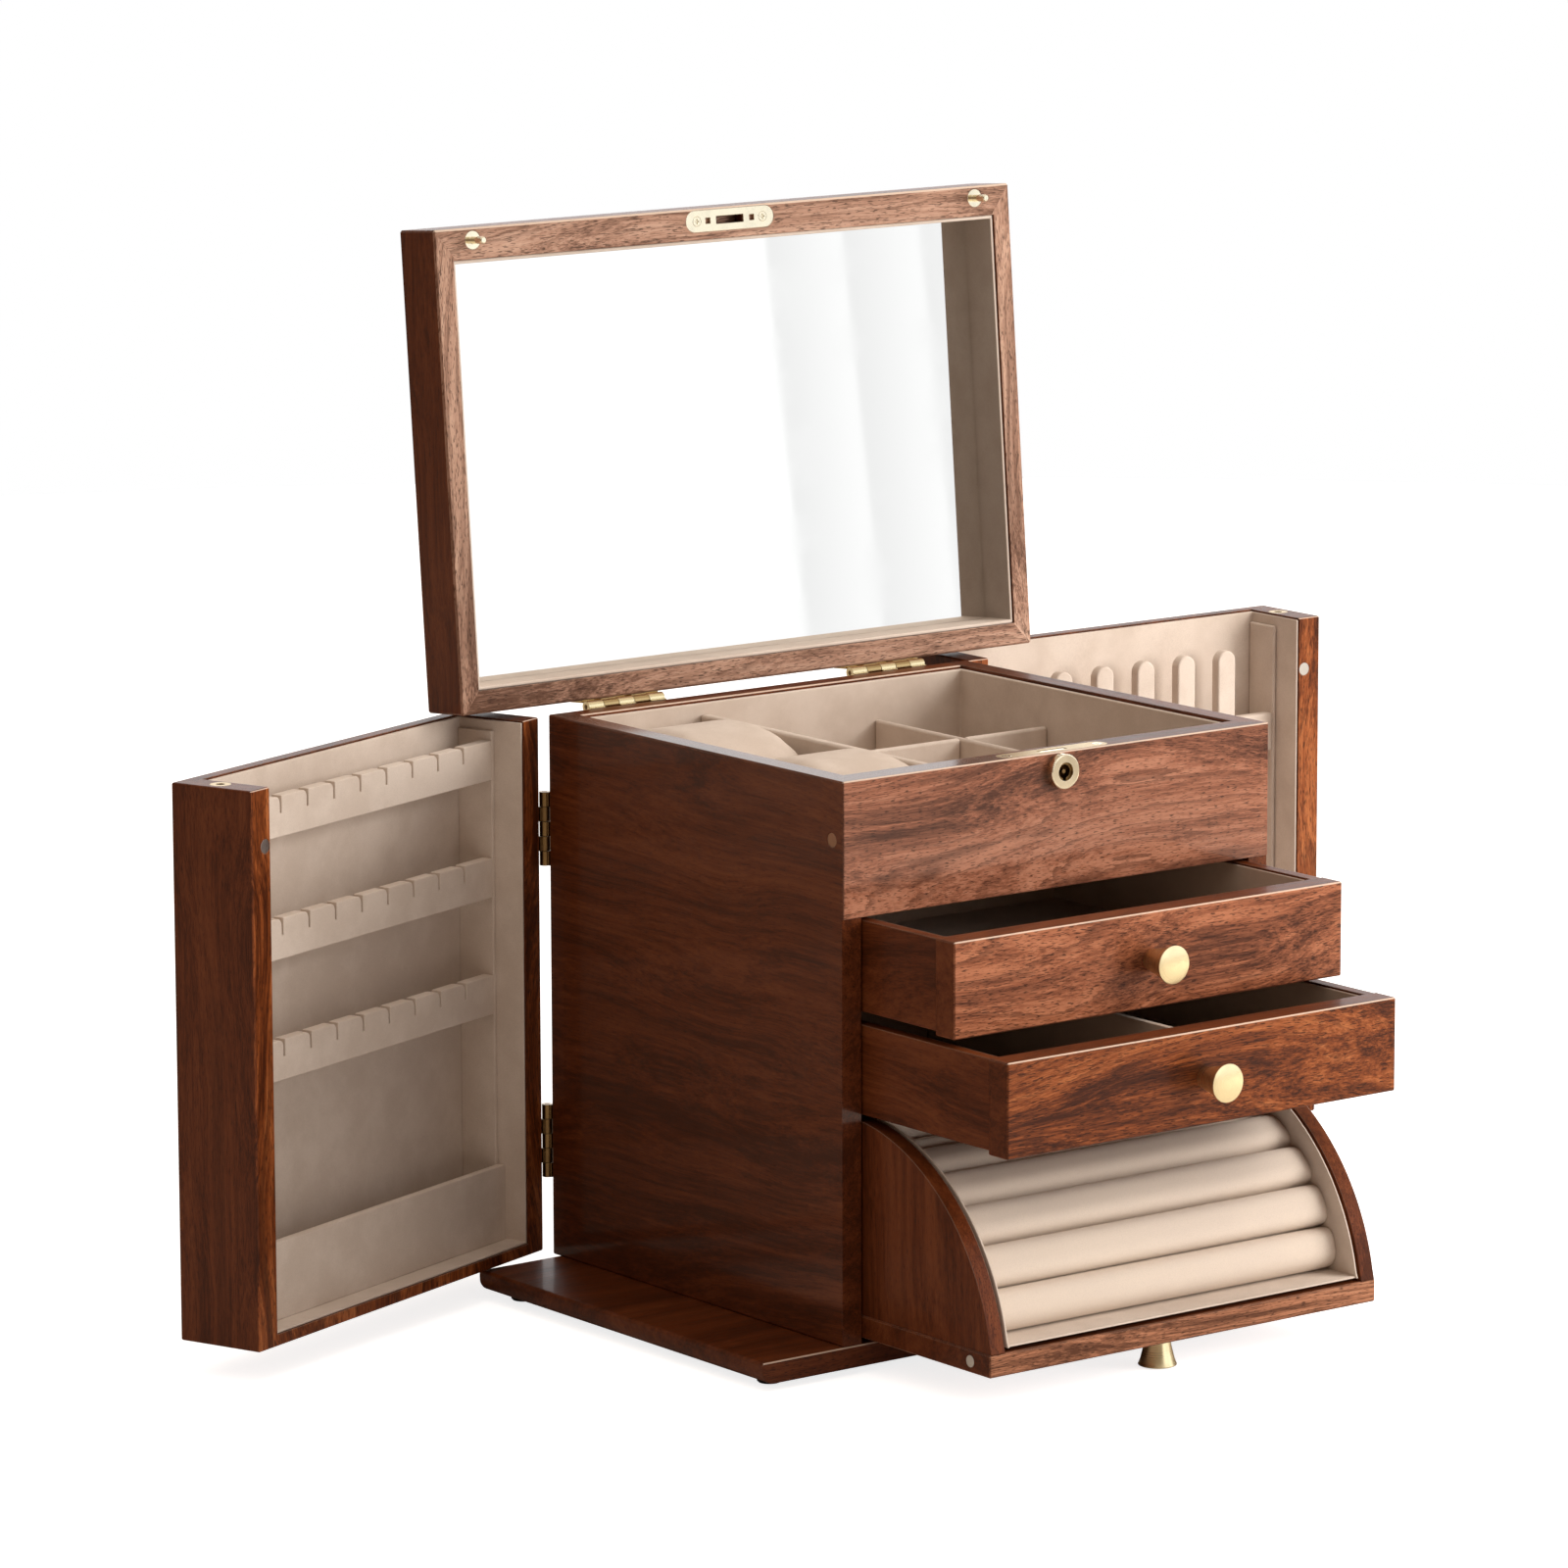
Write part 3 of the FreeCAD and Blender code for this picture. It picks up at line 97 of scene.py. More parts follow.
# ---- studio light ------------------------------------------------------------------------------
WINDOW_SIDE = radians(36.93)     # azimuth of the edge of the curtain, from straight ahead
WINDOW_FADE = (radians(24), radians(40))
WINDOW_HEIGHT = (0.35, 0.75)     # rise of the direction over which the window fades out
WINDOW_STRENGTH = 1.7
CURTAIN_FOLD = radians(0.58)     # from one fold of the curtain to the next
CURTAIN_HALF = radians(7.0)      # the part of the window that the mirror shows
CURTAIN_BRIGHT = 1.08
FOLD_START = 1.3
FOLD_DEPTH = 0.16
ROOM_COLOUR = (1.0, 0.73, 0.55)
ROOM_STRENGTH = 0.20
WALL_STRENGTH = 1.8              # white wall behind the chest, met only by reflections
SKY_COLOUR = (0.80, 0.70, 0.61)
FLOOR_R = 2.4
FLOOR_LIFT = 0.80                # glow that keeps the floor white to the camera
KEY_LAMP = {
    "location": (0.78, -0.74, 0.52),
    "target": (0.0, 0.0, 0.18),
    "size": (0.55, 0.75),
    "power": 11.0,
    "colour": (1.0, 0.97, 0.93),
}
TOP_LAMP = {
    "location": (0.2, -0.1, 1.5),
    "target": (0.0, 0.0, 0.2),
    "size": (0.9, 0.9),
    "power": 5.0,
    "colour": (1.0, 0.97, 0.94),
}

# ---- wood --------------------------------------------------------------------------------------
EDGE_ROUND = 0.0008
# how much of the painted edge highlight colour lies on a full edge
EDGE_HIGHLIGHT_SHARE = 0.7                 # share of the lit-edge colour on a full edge
RIM_COAT_IOR = 3.0
MITRE_SLOPE = 0.8                # where the lid's end rails meet its long ones
RINGS_PER_METRE = 150.0
# below this height the case's hinge leaves take the dark brass: partly age, partly painted dark
# reflection
HINGE_PALE_Z = 0.22              # the upper hinges of the doors are paler than the lower ones

# ---- soft and turned pieces, in metres ---------------------------------------------------------
METAL_ROUND = 0.0004
CARD_T = 0.0015
CARD_ROUND = 0.0006
THIN_ROUND = 0.0004
CARD_EDGE_WIDTH = 0.0024         # faces narrower than this are the cut edges of a card
CARD_CORNER = radians(25)        # edges sharper than this are rounded
CARD_GAP = 0.0016                # dark joint between the ring tray's cards and its wood
GAP_TAPER = 0.4                  # the inner face of a card moves in by this share less
DIVIDER_ROUND = 0.0014
RACK_ROUND = 0.0011
RING_PIVOT = Vector((0, -0.095, 0.0178))
ROLL_COUNT = 5
ROLL_PATH = 0.0660               # the rolls' middles lie on an arc about the pivot
ROLL_FIRST = radians(16.2)
ROLL_STEP = radians(14.8)
ROLL_HALF_HEIGHT = 0.0090
ROLL_HALF_WIDTH = 0.00845
ROLL_END = 0.0070                # length over which a roll is eased at its ends
ROLL_DROP = 0.30                 # and how much lower
ROLL_PINCH = 0.05                # and narrower it gets there
ROLL_UNEVEN = 0.010
ROLL_RINGS = 64
ROLL_AROUND = 56
PRESSED = 3.1                    # power of the section where two rolls press together
FREE = 2.1                       # and on the open side of the last roll, nearly round
PAD_AT = radians(5.6)
PAD_HALF_WIDTH = 0.0034
PILLOW_VOXEL = 0.0045
PILLOW_SHRINK = 0.0030
PILLOW_CAP = 0.0045
PILLOW_FRAMES = 18
PILLOW_PRESSURE = 4.0
PILLOW_STIFFNESS = 18.0
KNOB_L = 0.0138
KNOB_SEGMENTS = 72
KNOB_PROFILE = (                 # radius and y, from the wood to the face
    (0.00450, 0.00000),
    (0.00462, -0.00080),
    (0.00560, -0.00600),
    (0.00690, -0.01120),
    (0.00755, -0.01290),
    (0.00775, -0.01330),
    (0.00780, -0.01345),
    (0.00772, -0.01368),
    (0.00745, -0.01380),
)


# ---- node materials --------------------------------------------------------------------------
class Shader:
    """Short names for wiring shader nodes."""

    def __init__(self, tree, coordinate):
        self.tree = tree
        self.coordinate = self.add("ShaderNodeTexCoord").outputs[coordinate]

    def add(self, kind, **settings):
        node = self.tree.nodes.new(kind)
        for key, value in settings.items():
            setattr(node, key, value)
        return node

    def put(self, socket, value):
        if isinstance(value, bpy.types.NodeSocket):
            self.tree.links.new(value, socket)
        elif isinstance(value, tuple) and socket.type == "RGBA":
            socket.default_value = (*value, 1.0)
        else:
            socket.default_value = value

    def math(self, operation, a, b=0.0):
        node = self.add("ShaderNodeMath", operation=operation)
        self.put(node.inputs[0], a)
        self.put(node.inputs[1], b)
        return node.outputs[0]

    def vector(self, operation, a, b):
        node = self.add("ShaderNodeVectorMath", operation=operation)
        self.put(node.inputs[0], a)
        self.put(node.inputs[1], b)
        return node.outputs[0]

    def split(self, vector):
        node = self.add("ShaderNodeSeparateXYZ")
        self.put(node.inputs[0], vector)
        return node.outputs

    def join(self, x, y, z):
        node = self.add("ShaderNodeCombineXYZ")
        for socket, value in zip(node.inputs, (x, y, z)):
            self.put(socket, value)
        return node.outputs[0]

    def noise(self, vector, scale, detail=4.0, roughness=0.55):
        node = self.add("ShaderNodeTexNoise")
        self.put(node.inputs["Vector"], vector)
        node.inputs["Scale"].default_value = scale
        node.inputs["Detail"].default_value = detail
        node.inputs["Roughness"].default_value = roughness
        return node.outputs["Fac"]

    def remap(self, value, low, high, to_low=0.0, to_high=1.0):
        node = self.add("ShaderNodeMapRange", interpolation_type="SMOOTHSTEP")
        self.put(node.inputs["Value"], value)
        node.inputs["From Min"].default_value = low
        node.inputs["From Max"].default_value = high
        node.inputs["To Min"].default_value = to_low
        node.inputs["To Max"].default_value = to_high
        return node.outputs[0]

    def mix(self, factor, a, b, blend="MIX"):
        node = self.add("ShaderNodeMix", data_type="RGBA", blend_type=blend)
        self.put(node.inputs["Factor"], factor)
        self.put(node.inputs["A"], a)
        self.put(node.inputs["B"], b)
        return node.outputs["Result"]

    def ramp(self, value, stops):
        node = self.add("ShaderNodeValToRGB")
        self.put(node.inputs[0], value)
        elements = node.color_ramp.elements
        while len(elements) < len(stops):
            elements.new(0.5)
        for element, (position, colour) in zip(elements, stops):
            element.position = position
            element.color = (*colour, 1.0)
        return node.outputs[0]


class Surround(Shader):
    """The world's nodes, with the direction looked along and the kind of ray."""

    def __init__(self, tree):
        super().__init__(tree, "Generated")
        path = self.add("ShaderNodeLightPath")
        self.camera = path.outputs["Is Camera Ray"]
        self.glossy = path.outputs["Is Glossy Ray"]


class Graph(Shader):
    """A node material built on one Principled shader."""

    def __init__(self, name):
        self.material = bpy.data.materials.new(name)
        self.material.use_nodes = True
        super().__init__(self.material.node_tree, "Object")
        self.bsdf = self.tree.nodes["Principled BSDF"]
        self.normal = self.add("ShaderNodeTexCoord").outputs["Normal"]

    def rounded(self, radius):
        """The surface normal as if every edge were eased by this radius."""
        node = self.add("ShaderNodeBevel", samples=4)
        node.inputs["Radius"].default_value = radius
        return node.outputs[0]

    def bump(self, height, strength, distance, normal=None):
        node = self.add("ShaderNodeBump")
        if normal is not None:
            self.put(node.inputs["Normal"], normal)
        node.inputs["Strength"].default_value = strength
        node.inputs["Distance"].default_value = distance
        self.put(node.inputs["Height"], height)
        self.put(self.bsdf.inputs["Normal"], node.outputs[0])

    def set(self, **values):
        for key, value in values.items():
            self.put(self.bsdf.inputs[key.replace("_", " ")], value)


def grain_frame(graph, grain, seed):
    """Coordinates whose X runs along the grain, shifted so that no two boards match."""
    x, y, z = graph.split(graph.coordinate)
    order = {"x": (x, y, z), "y": (y, x, z), "z": (z, x, y)}[grain]
    shift = (0.37 * seed, 0.011 * seed + 0.02, 0.007 * seed - 0.03)
    return graph.vector("ADD", graph.join(*order), shift)


def stretched(graph, vector, along, across, detail=3.0, roughness=0.55):
    """Noise drawn out along the grain; both numbers are cells per metre."""
    scaled = graph.vector("MULTIPLY", vector, (along, across, across))
    return graph.noise(scaled, 1.0, detail, roughness)


def wood_colour(graph, vector):
    """Noise fields of the wood: overall tone, dark streaks, fibre and open pores."""
    drift = graph.math("SUBTRACT", stretched(graph, vector, 3.4, 9.0, 2.0), 0.5)
    wander = graph.math("MULTIPLY", drift, 0.085)
    wavy = graph.vector("ADD", vector, graph.join(0.0, wander, wander))
    bands = stretched(graph, wavy, 2.0, 52.0, 4.0, 0.62)
    fibre = stretched(graph, wavy, 60.0, 1500.0, 3.0, 0.75)
    lines = stretched(graph, wavy, 9.0, 420.0, 3.0, 0.65)
    coarse = graph.math("MULTIPLY", bands, 0.46)
    tone = graph.math("ADD", coarse, graph.math("MULTIPLY", fibre, 0.28))
    tone = graph.math("ADD", tone, graph.math("MULTIPLY", lines, 0.26))
    streak = graph.remap(stretched(graph, wavy, 2.4, 74.0, 3.0, 0.6), 0.55, 0.68)
    _, deep, high = graph.split(wavy)
    slanted = graph.math("ADD", high, graph.math("MULTIPLY", deep, 0.4))
    growth = graph.math("MULTIPLY", slanted, RINGS_PER_METRE)
    growth = graph.math("FRACT", graph.math("ADD", growth, graph.math("MULTIPLY", lines, 1.1)))
    veins = graph.math("MULTIPLY", graph.remap(growth, 0.70, 0.98), graph.remap(bands, 0.40, 0.60))
    streak = graph.math("MAXIMUM", streak, graph.math("MULTIPLY", veins, 0.75))
    pores = graph.remap(stretched(graph, vector, 300.0, 2500.0, 1.0, 0.4), 0.58, 0.66)
    return graph.remap(tone, 0.38, 0.62), streak, fibre, pores


def edge_highlight_mask(graph, normal, chamfered):
    """Mask of the painted highlight: 1 along the edges that turn up to the light in front, 0 on the
    faces.
    """
    flat = graph.add("ShaderNodeNewGeometry").outputs["Normal"]
    product = graph.add("ShaderNodeVectorMath", operation="DOT_PRODUCT")
    graph.put(product.inputs[0], flat)
    graph.put(product.inputs[1], normal)
    turned = graph.remap(product.outputs["Value"], 0.80, 0.98, 1.0, 0.0)
    upward = graph.remap(graph.split(normal)[2], 0.15, 0.45, 0.0, 0.4)
    lit = graph.math("MULTIPLY", turned, upward)
    if chamfered:
        _, slope_y, slope_z = graph.split(flat)
        forward = graph.remap(graph.math("MULTIPLY", slope_y, -1.0), 0.45, 0.60)
        chamfer = graph.math("MULTIPLY", forward, graph.remap(slope_z, 0.45, 0.60))
        lit = graph.math("MAXIMUM", lit, chamfer)
    return lit


def finish_wood(graph, vector, face, edge, chamfered=True):
    """Walnut under satin lacquer; the faces ahead and below at rest take the face palette, and
    every other face takes the darker edge palette as painted shade.

    The ring tray's front lies face down when the tray is open, so its show face is the lower one.
    """
    tone, streak, fibre, pores = wood_colour(graph, vector)
    colours = []
    for (dark, middle, light), depth in ((edge, 0.35), (face, 0.75)):
        colour = graph.ramp(tone, ((0.0, dark), (0.5, middle), (1.0, light)))
        colour = graph.mix(graph.math("MULTIPLY", streak, depth), colour, dark)
        dent = tuple(channel * 0.4 for channel in dark)
        colours.append(graph.mix(graph.math("MULTIPLY", pores, depth), colour, dent))
    # painted shade: faces that do not look ahead or down at rest take the darker edge palette
    _, normal_y, normal_z = graph.split(graph.normal)
    lit_facing = graph.math("MULTIPLY", graph.math("MINIMUM", normal_y, normal_z), -1.0)
    colour = graph.mix(graph.remap(lit_facing, 0.55, 0.85), *colours)
    eased = graph.rounded(EDGE_ROUND)
    # painted highlight: the light edge colour mixed in along the eased and chamfered edges
    highlight_mix = graph.math("MULTIPLY", edge_highlight_mask(graph, eased, chamfered), EDGE_HIGHLIGHT_SHARE)
    height = graph.math("SUBTRACT", graph.math("MULTIPLY", fibre, 0.3), pores)
    graph.bump(height, 0.20, 0.00012, eased)
    graph.set(Base_Color=graph.mix(highlight_mix, colour, PAINTED_EDGE_HIGHLIGHT))
    graph.set(Roughness=graph.remap(fibre, 0.2, 0.8, 0.36, 0.52))
    graph.set(Coat_Weight=0.10, Coat_Roughness=0.12, Specular_IOR_Level=0.14)


def walnut(name, grain, face, seed):
    """Walnut for one node; the rims of the left side and the fascia are polished to a mirror."""
    graph = Graph(name)
    chamfered = not name.startswith("ring_tray")
    finish_wood(graph, grain_frame(graph, grain, seed), face, WALNUT_DARK_AND_SHADED, chamfered)
    if name in POLISHED_RIMS:
        upward = graph.remap(graph.split(graph.normal)[2], 0.90, 0.98)
        leftward = graph.remap(graph.split(graph.coordinate)[0], -0.04, 0.0, 1.0, 0.0)
        coat = graph.remap(graph.math("MULTIPLY", upward, leftward), 0.0, 1.0, 0.10, 1.0)
        graph.set(Coat_Weight=coat, Coat_IOR=RIM_COAT_IOR)
    return graph.material


def velvet(name, colour, deep, left_facing_shade=1.0):
    """Brushed velvet; faces that look to the left can be darkened by a factor, as painted shade."""
    graph = Graph(name)
    point = graph.coordinate
    pile = graph.noise(point, 2600.0, 2.0, 0.8)
    nap = graph.noise(point, 60.0, 4.0, 0.6)
    brushed = graph.noise(point, 9.0, 2.0, 0.5)
    shade = graph.math("MULTIPLY", nap, 0.55)
    shade = graph.math("ADD", shade, graph.math("MULTIPLY", brushed, 0.45))
    base = graph.mix(graph.remap(shade, 0.38, 0.62, 0.0, 0.55), colour, deep)
    base = graph.mix(graph.remap(pile, 0.40, 0.70, 0.0, 0.22), base, tuple(c * 0.62 for c in deep))
    graph.bump(graph.math("ADD", pile, graph.math("MULTIPLY", nap, 0.4)), 0.30, 0.00022)
    # painted shade: faces that look to the left are multiplied down by the given factor
    leftward = graph.math("MULTIPLY", graph.split(graph.normal)[0], -1.0)
    darker = graph.mix(1.0, base, (left_facing_shade,) * 3, "MULTIPLY")
    base = graph.mix(graph.remap(leftward, 0.5, 0.9), base, darker)
    graph.set(Base_Color=base, Roughness=0.92, Specular_IOR_Level=0.12)
    graph.set(Sheen_Weight=0.24, Sheen_Roughness=0.45, Sheen_Tint=(0.95, 0.86, 0.76))
    return graph.material


def metal(name, colour, roughness, pale_above=None):
    """Brushed metal with a little patina; above a height it can change to pale brass."""
    graph = Graph(name)
    drawn = graph.vector("MULTIPLY", graph.coordinate, (700.0, 700.0, 40.0))
    lines = graph.noise(drawn, 3.0, 3.0, 0.7)
    patina = graph.noise(graph.coordinate, 120.0, 3.0, 0.6)
    darker = tuple(c * 0.72 for c in colour)
    base = graph.mix(graph.remap(patina, 0.45, 0.75, 0.0, 0.35), colour, darker)
    if pale_above is not None:
        height = graph.split(graph.coordinate)[2]
        pale = graph.remap(height, pale_above, pale_above + 0.004)
        base = graph.mix(pale, base, BRASS_WARM)
    graph.bump(lines, 0.05, 0.00003, graph.rounded(METAL_ROUND))
    graph.set(Base_Color=base, Metallic=1.0)
    graph.set(Roughness=graph.remap(lines, 0.3, 0.7, roughness * 0.8, roughness * 1.25))
    return graph.material


def turned_metal(name, colour, roughness):
    """Satin metal with the fine rings of a lathe about the knob's own Y axis."""
    graph = Graph(name)
    x, _, z = graph.split(graph.coordinate)
    square = graph.math("ADD", graph.math("MULTIPLY", x, x), graph.math("MULTIPLY", z, z))
    radius = graph.math("SQRT", square)
    rings = graph.noise(graph.join(radius, 0.0, 0.0), 9000.0, 2.0, 0.6)
    patina = graph.noise(graph.coordinate, 160.0, 3.0, 0.6)
    darker = tuple(c * 0.75 for c in colour)
    base = graph.mix(graph.remap(patina, 0.4, 0.75, 0.0, 0.30), colour, darker)
    graph.bump(rings, 0.10, 0.00004)
    graph.set(Base_Color=base, Metallic=1.0, Anisotropic=0.45)
    graph.set(Roughness=graph.remap(rings, 0.3, 0.7, roughness * 0.85, roughness * 1.2))
    return graph.material


def mirror_glass(name):
    graph = Graph(name)
    haze = graph.noise(graph.coordinate, 30.0, 3.0, 0.5)
    graph.set(Base_Color=(0.97, 0.975, 0.97), Metallic=1.0)
    graph.set(Roughness=graph.remap(haze, 0.4, 0.7, 0.015, 0.03))
    return graph.material


def foot_rubber(name):
    graph = Graph(name)
    grit = graph.noise(graph.coordinate, 1400.0, 3.0, 0.6)
    base = graph.mix(grit, (0.012, 0.009, 0.008), (0.030, 0.024, 0.021))
    graph.bump(grit, 0.25, 0.0001)
    graph.set(Base_Color=base, Roughness=0.72)
    return graph.material


# ---- which finish each CAD node takes --------------------------------------------------------
WOOD_FINISH = {
    "base_plate": ("x", WALNUT_DARK_AND_SHADED),
    "left_side_panel": ("y", WALNUT_DARK_AND_SHADED),
    "right_side_panel": ("y", WALNUT_DARK_AND_SHADED),
    "back_panel": ("x", WALNUT_DARK_AND_SHADED),
    "front_fascia": ("x", WALNUT_ROSE),
    "shelf_boards": ("x", WALNUT_DARK_AND_SHADED),
    "lid_top_panel": ("x", WALNUT_DARK_AND_SHADED),
    "left_door_frame": ("z", WALNUT_RED),
    "left_door_panel": ("z", WALNUT_DARK_AND_SHADED),
    "right_door_frame": ("z", WALNUT_RED),
    "right_door_panel": ("z", WALNUT_DARK_AND_SHADED),
    "upper_drawer_front": ("x", WALNUT_AMBER),
    "upper_drawer_box": ("y", WALNUT_DARK_AND_SHADED),
    "lower_drawer_front": ("x", WALNUT_RED),
    "lower_drawer_box": ("y", WALNUT_DARK_AND_SHADED),
    "ring_tray_front": ("x", WALNUT_LIGHT),
    "ring_tray_carcass": ("z", WALNUT_DARK_AND_SHADED),
}
POLISHED_RIMS = ("left_side_panel_walnut", "front_fascia_walnut")
AGED_AND_SHADED_BRASS = (
    "hinge_pins",
    "left_door_hinge_leaves",
    "right_door_hinge_leaves",
    "lock_barrel",
    "lock_case",
)
DULL_BRASS = ("lock_face_plate", "left_door_pin_socket", "right_door_pin_socket")
KNOBS = ("upper_drawer_knob", "lower_drawer_knob", "ring_tray_knob")


def dress(obj, material):
    obj.data.materials.clear()
    obj.data.materials.append(material)


def lid_wood():
    """Grain that follows each rail of the lid and turns at the mitres."""
    graph = Graph("lid_walnut")
    low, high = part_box("lid_frame")
    x, y, z = graph.split(graph.coordinate)
    half_x = (high.x - low.x) / 2
    side = graph.math("SUBTRACT", half_x, graph.math("ABSOLUTE", x))
    from_top = graph.math("SUBTRACT", high.z, z)
    from_bottom = graph.math("SUBTRACT", z, low.z)
    end = graph.math("MINIMUM", from_top, from_bottom)
    upright = graph.math("LESS_THAN", side, graph.math("MULTIPLY", end, MITRE_SLOPE))
    along = graph.add("ShaderNodeMix", data_type="VECTOR")
    graph.put(along.inputs["Factor"], upright)
    graph.put(along.inputs[4], graph.join(x, y, z))
    graph.put(along.inputs[5], graph.vector("ADD", graph.join(z, y, x), (0.7, 0.1, 0.3)))
    finish_wood(graph, along.outputs[1], WALNUT_PINK, WALNUT_DARK_AND_SHADED)
    return graph.material


def dress_cad(fabric, polished, steel, mirror, rubber):
    """Wood goes by the table above, and every other CAD node by its material slot."""
    for index, (name, (grain, colours)) in enumerate(WOOD_FINISH.items()):
        dress(NODES[name], walnut(f"{name}_walnut", grain, colours, index + 1))
    dress(NODES["lid_frame"], lid_wood())
    shared = {
        "velvet": fabric,
        "brass": polished,
        "steel": steel,
        "mirror": mirror,
        "rubber": rubber,
    }
    for row in frame["record"]["subparts"]:
        if row["material_slot"] in shared:
            dress(NODES[row["node"]], shared[row["material_slot"]])


# ---- soft and turned pieces ------------------------------------------------------------------
def link(name, mesh):
    obj = bpy.data.objects.new(name, mesh)
    bpy.context.scene.collection.objects.link(obj)
    return obj


def stand_for(obj, node):
    """The piece takes over from a CAD node, on the same body."""
    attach(obj, NODES[node]["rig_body"])
    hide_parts(node)


def covered_card(node, radius, fabric, rim_highlight_fabric):
    """A fabric-covered copy of a CAD card, with rounded edges and, on linings, a paler velvet on
    the narrow cut edges as a painted highlight along the rims.
    """
    bm = bmesh.new()
    bm.from_mesh(NODES[node].data)
    bmesh.ops.remove_doubles(bm, verts=bm.verts, dist=1e-5)
    bmesh.ops.dissolve_limit(bm, angle_limit=radians(1.0), verts=bm.verts, edges=bm.edges)
    for face in bm.faces:
        if 2 * face.calc_area() / face.calc_perimeter() < CARD_EDGE_WIDTH:
            face.material_index = 1
    joined = [edge for edge in bm.edges if edge.is_manifold]
    sharp = [edge for edge in joined if edge.calc_face_angle(0.0) > CARD_CORNER]
    bmesh.ops.bevel(
        bm, geom=sharp, offset=radius, segments=3, profile=0.5, affect="EDGES", clamp_overlap=True
    )
    mesh = bpy.data.meshes.new(f"{node}_cover")
    bm.to_mesh(mesh)
    bm.free()
    obj = link(f"{node}_cover", mesh)
    dress(obj, fabric)
    # painted highlight: on linings the narrow rim faces take the paler velvet
    mesh.materials.append(rim_highlight_fabric if node.endswith("_lining") else fabric)
    mesh.polygons.foreach_set("use_smooth", [True] * len(mesh.polygons))
    weighted = obj.modifiers.new("weighted", "WEIGHTED_NORMAL")
    weighted.keep_sharp = False
    stand_for(obj, node)
    return obj


def lathe(name, profile, segments):
    """A solid of revolution about local Y from (radius, y) points."""
    bm = bmesh.new()
    rows = []
    for radius, y in profile:
        ring = []
        for i in range(segments):
            turn = 2 * pi * i / segments
            ring.append(bm.verts.new((radius * cos(turn), y, radius * sin(turn))))
        rows.append(ring)
    for low, high in zip(rows, rows[1:]):
        for i in range(segments):
            j = (i + 1) % segments
            bm.faces.new((low[i], low[j], high[j], high[i]))
    bm.faces.new(rows[0][::-1])
    bm.faces.new(rows[-1])
    bmesh.ops.recalc_face_normals(bm, faces=bm.faces)
    mesh = bpy.data.meshes.new(name)
    bm.to_mesh(mesh)
    bm.free()
    obj = link(name, mesh)
    smooth_by_angle(obj, 40)
    return obj


def smooth_by_angle(obj, degrees):
    mesh = obj.data
    mesh.polygons.foreach_set("use_smooth", [True] * len(mesh.polygons))
    mesh.set_sharp_from_angle(angle=radians(degrees))


def turned_knob(node, finish):
    """A lathe-turned knob in the place of a CAD knob; its stud stays in the wood."""
    low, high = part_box(node)
    middle = (low + high) / 2
    knob = lathe(f"{node}_turned", KNOB_PROFILE, KNOB_SEGMENTS)
    dress(knob, finish)
    if high.z - low.z > high.y - low.y:
        place = Matrix.Translation((0, middle.y, low.z + KNOB_L))
        knob.matrix_world = place @ Matrix.Rotation(pi / 2, 4, "X")
    else:
        knob.matrix_world = Matrix.Translation((0, low.y + KNOB_L, middle.z))
    stand_for(knob, node)


def soft_pillow(node, fabric):
    """A stuffed watch pillow, inflated with cloth from a slightly smaller copy of its solid."""
    low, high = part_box(node)
    middle = (low + high) / 2
    mesh = NODES[node].data.copy()
    mesh.name = f"{node}_soft"
    shrink = Vector([1 - 2 * PILLOW_SHRINK / length for length in high - low])
    for vertex in mesh.vertices:
        vertex.co = middle + (vertex.co - middle) * shrink
    pillow = link(f"{node}_soft", mesh)
    remesh = pillow.modifiers.new("remesh", "REMESH")
    remesh.mode = "VOXEL"
    remesh.voxel_size = PILLOW_VOXEL
    bake(pillow)
    inflate(pillow)
    subdivide = pillow.modifiers.new("smooth", "SUBSURF")
    subdivide.levels = 1
    subdivide.render_levels = 1
    bake(pillow)
    settle(pillow, low, high)
    pillow.data.polygons.foreach_set("use_smooth", [True] * len(pillow.data.polygons))
    dress(pillow, fabric)
    stand_for(pillow, node)


def bake(obj):
    """Applies every modifier to the mesh."""
    bpy.context.view_layer.update()
    evaluated = obj.evaluated_get(bpy.context.evaluated_depsgraph_get())
    mesh = bpy.data.meshes.new_from_object(evaluated)
    obj.modifiers.clear()
    obj.data = mesh


def inflate(obj):
    """Blows a closed mesh up with cloth pressure, by no more than PILLOW_CAP at any point."""
    before = [vertex.co.copy() for vertex in obj.data.vertices]
    cloth = obj.modifiers.new("cloth", "CLOTH")
    cloth.settings.use_pressure = True
    cloth.settings.uniform_pressure_force = PILLOW_PRESSURE
    cloth.settings.effector_weights.gravity = 0.0
    cloth.settings.tension_stiffness = PILLOW_STIFFNESS
    cloth.settings.compression_stiffness = PILLOW_STIFFNESS
    cloth.point_cache.frame_end = PILLOW_FRAMES
    for number in range(1, PILLOW_FRAMES + 1):
        bpy.context.scene.frame_set(number)
    bake(obj)
    bpy.context.scene.frame_set(1)
    for vertex, start in zip(obj.data.vertices, before):
        move = vertex.co - start
        if move.length > PILLOW_CAP:
            vertex.co = start + move.normalized() * PILLOW_CAP


def settle(obj, low, high):
    """Keeps a soft piece in the space of its solid, so it rests flat and clears its neighbours."""
    for vertex in obj.data.vertices:
        for axis in range(3):
            vertex.co[axis] = min(max(vertex.co[axis], low[axis]), high[axis])


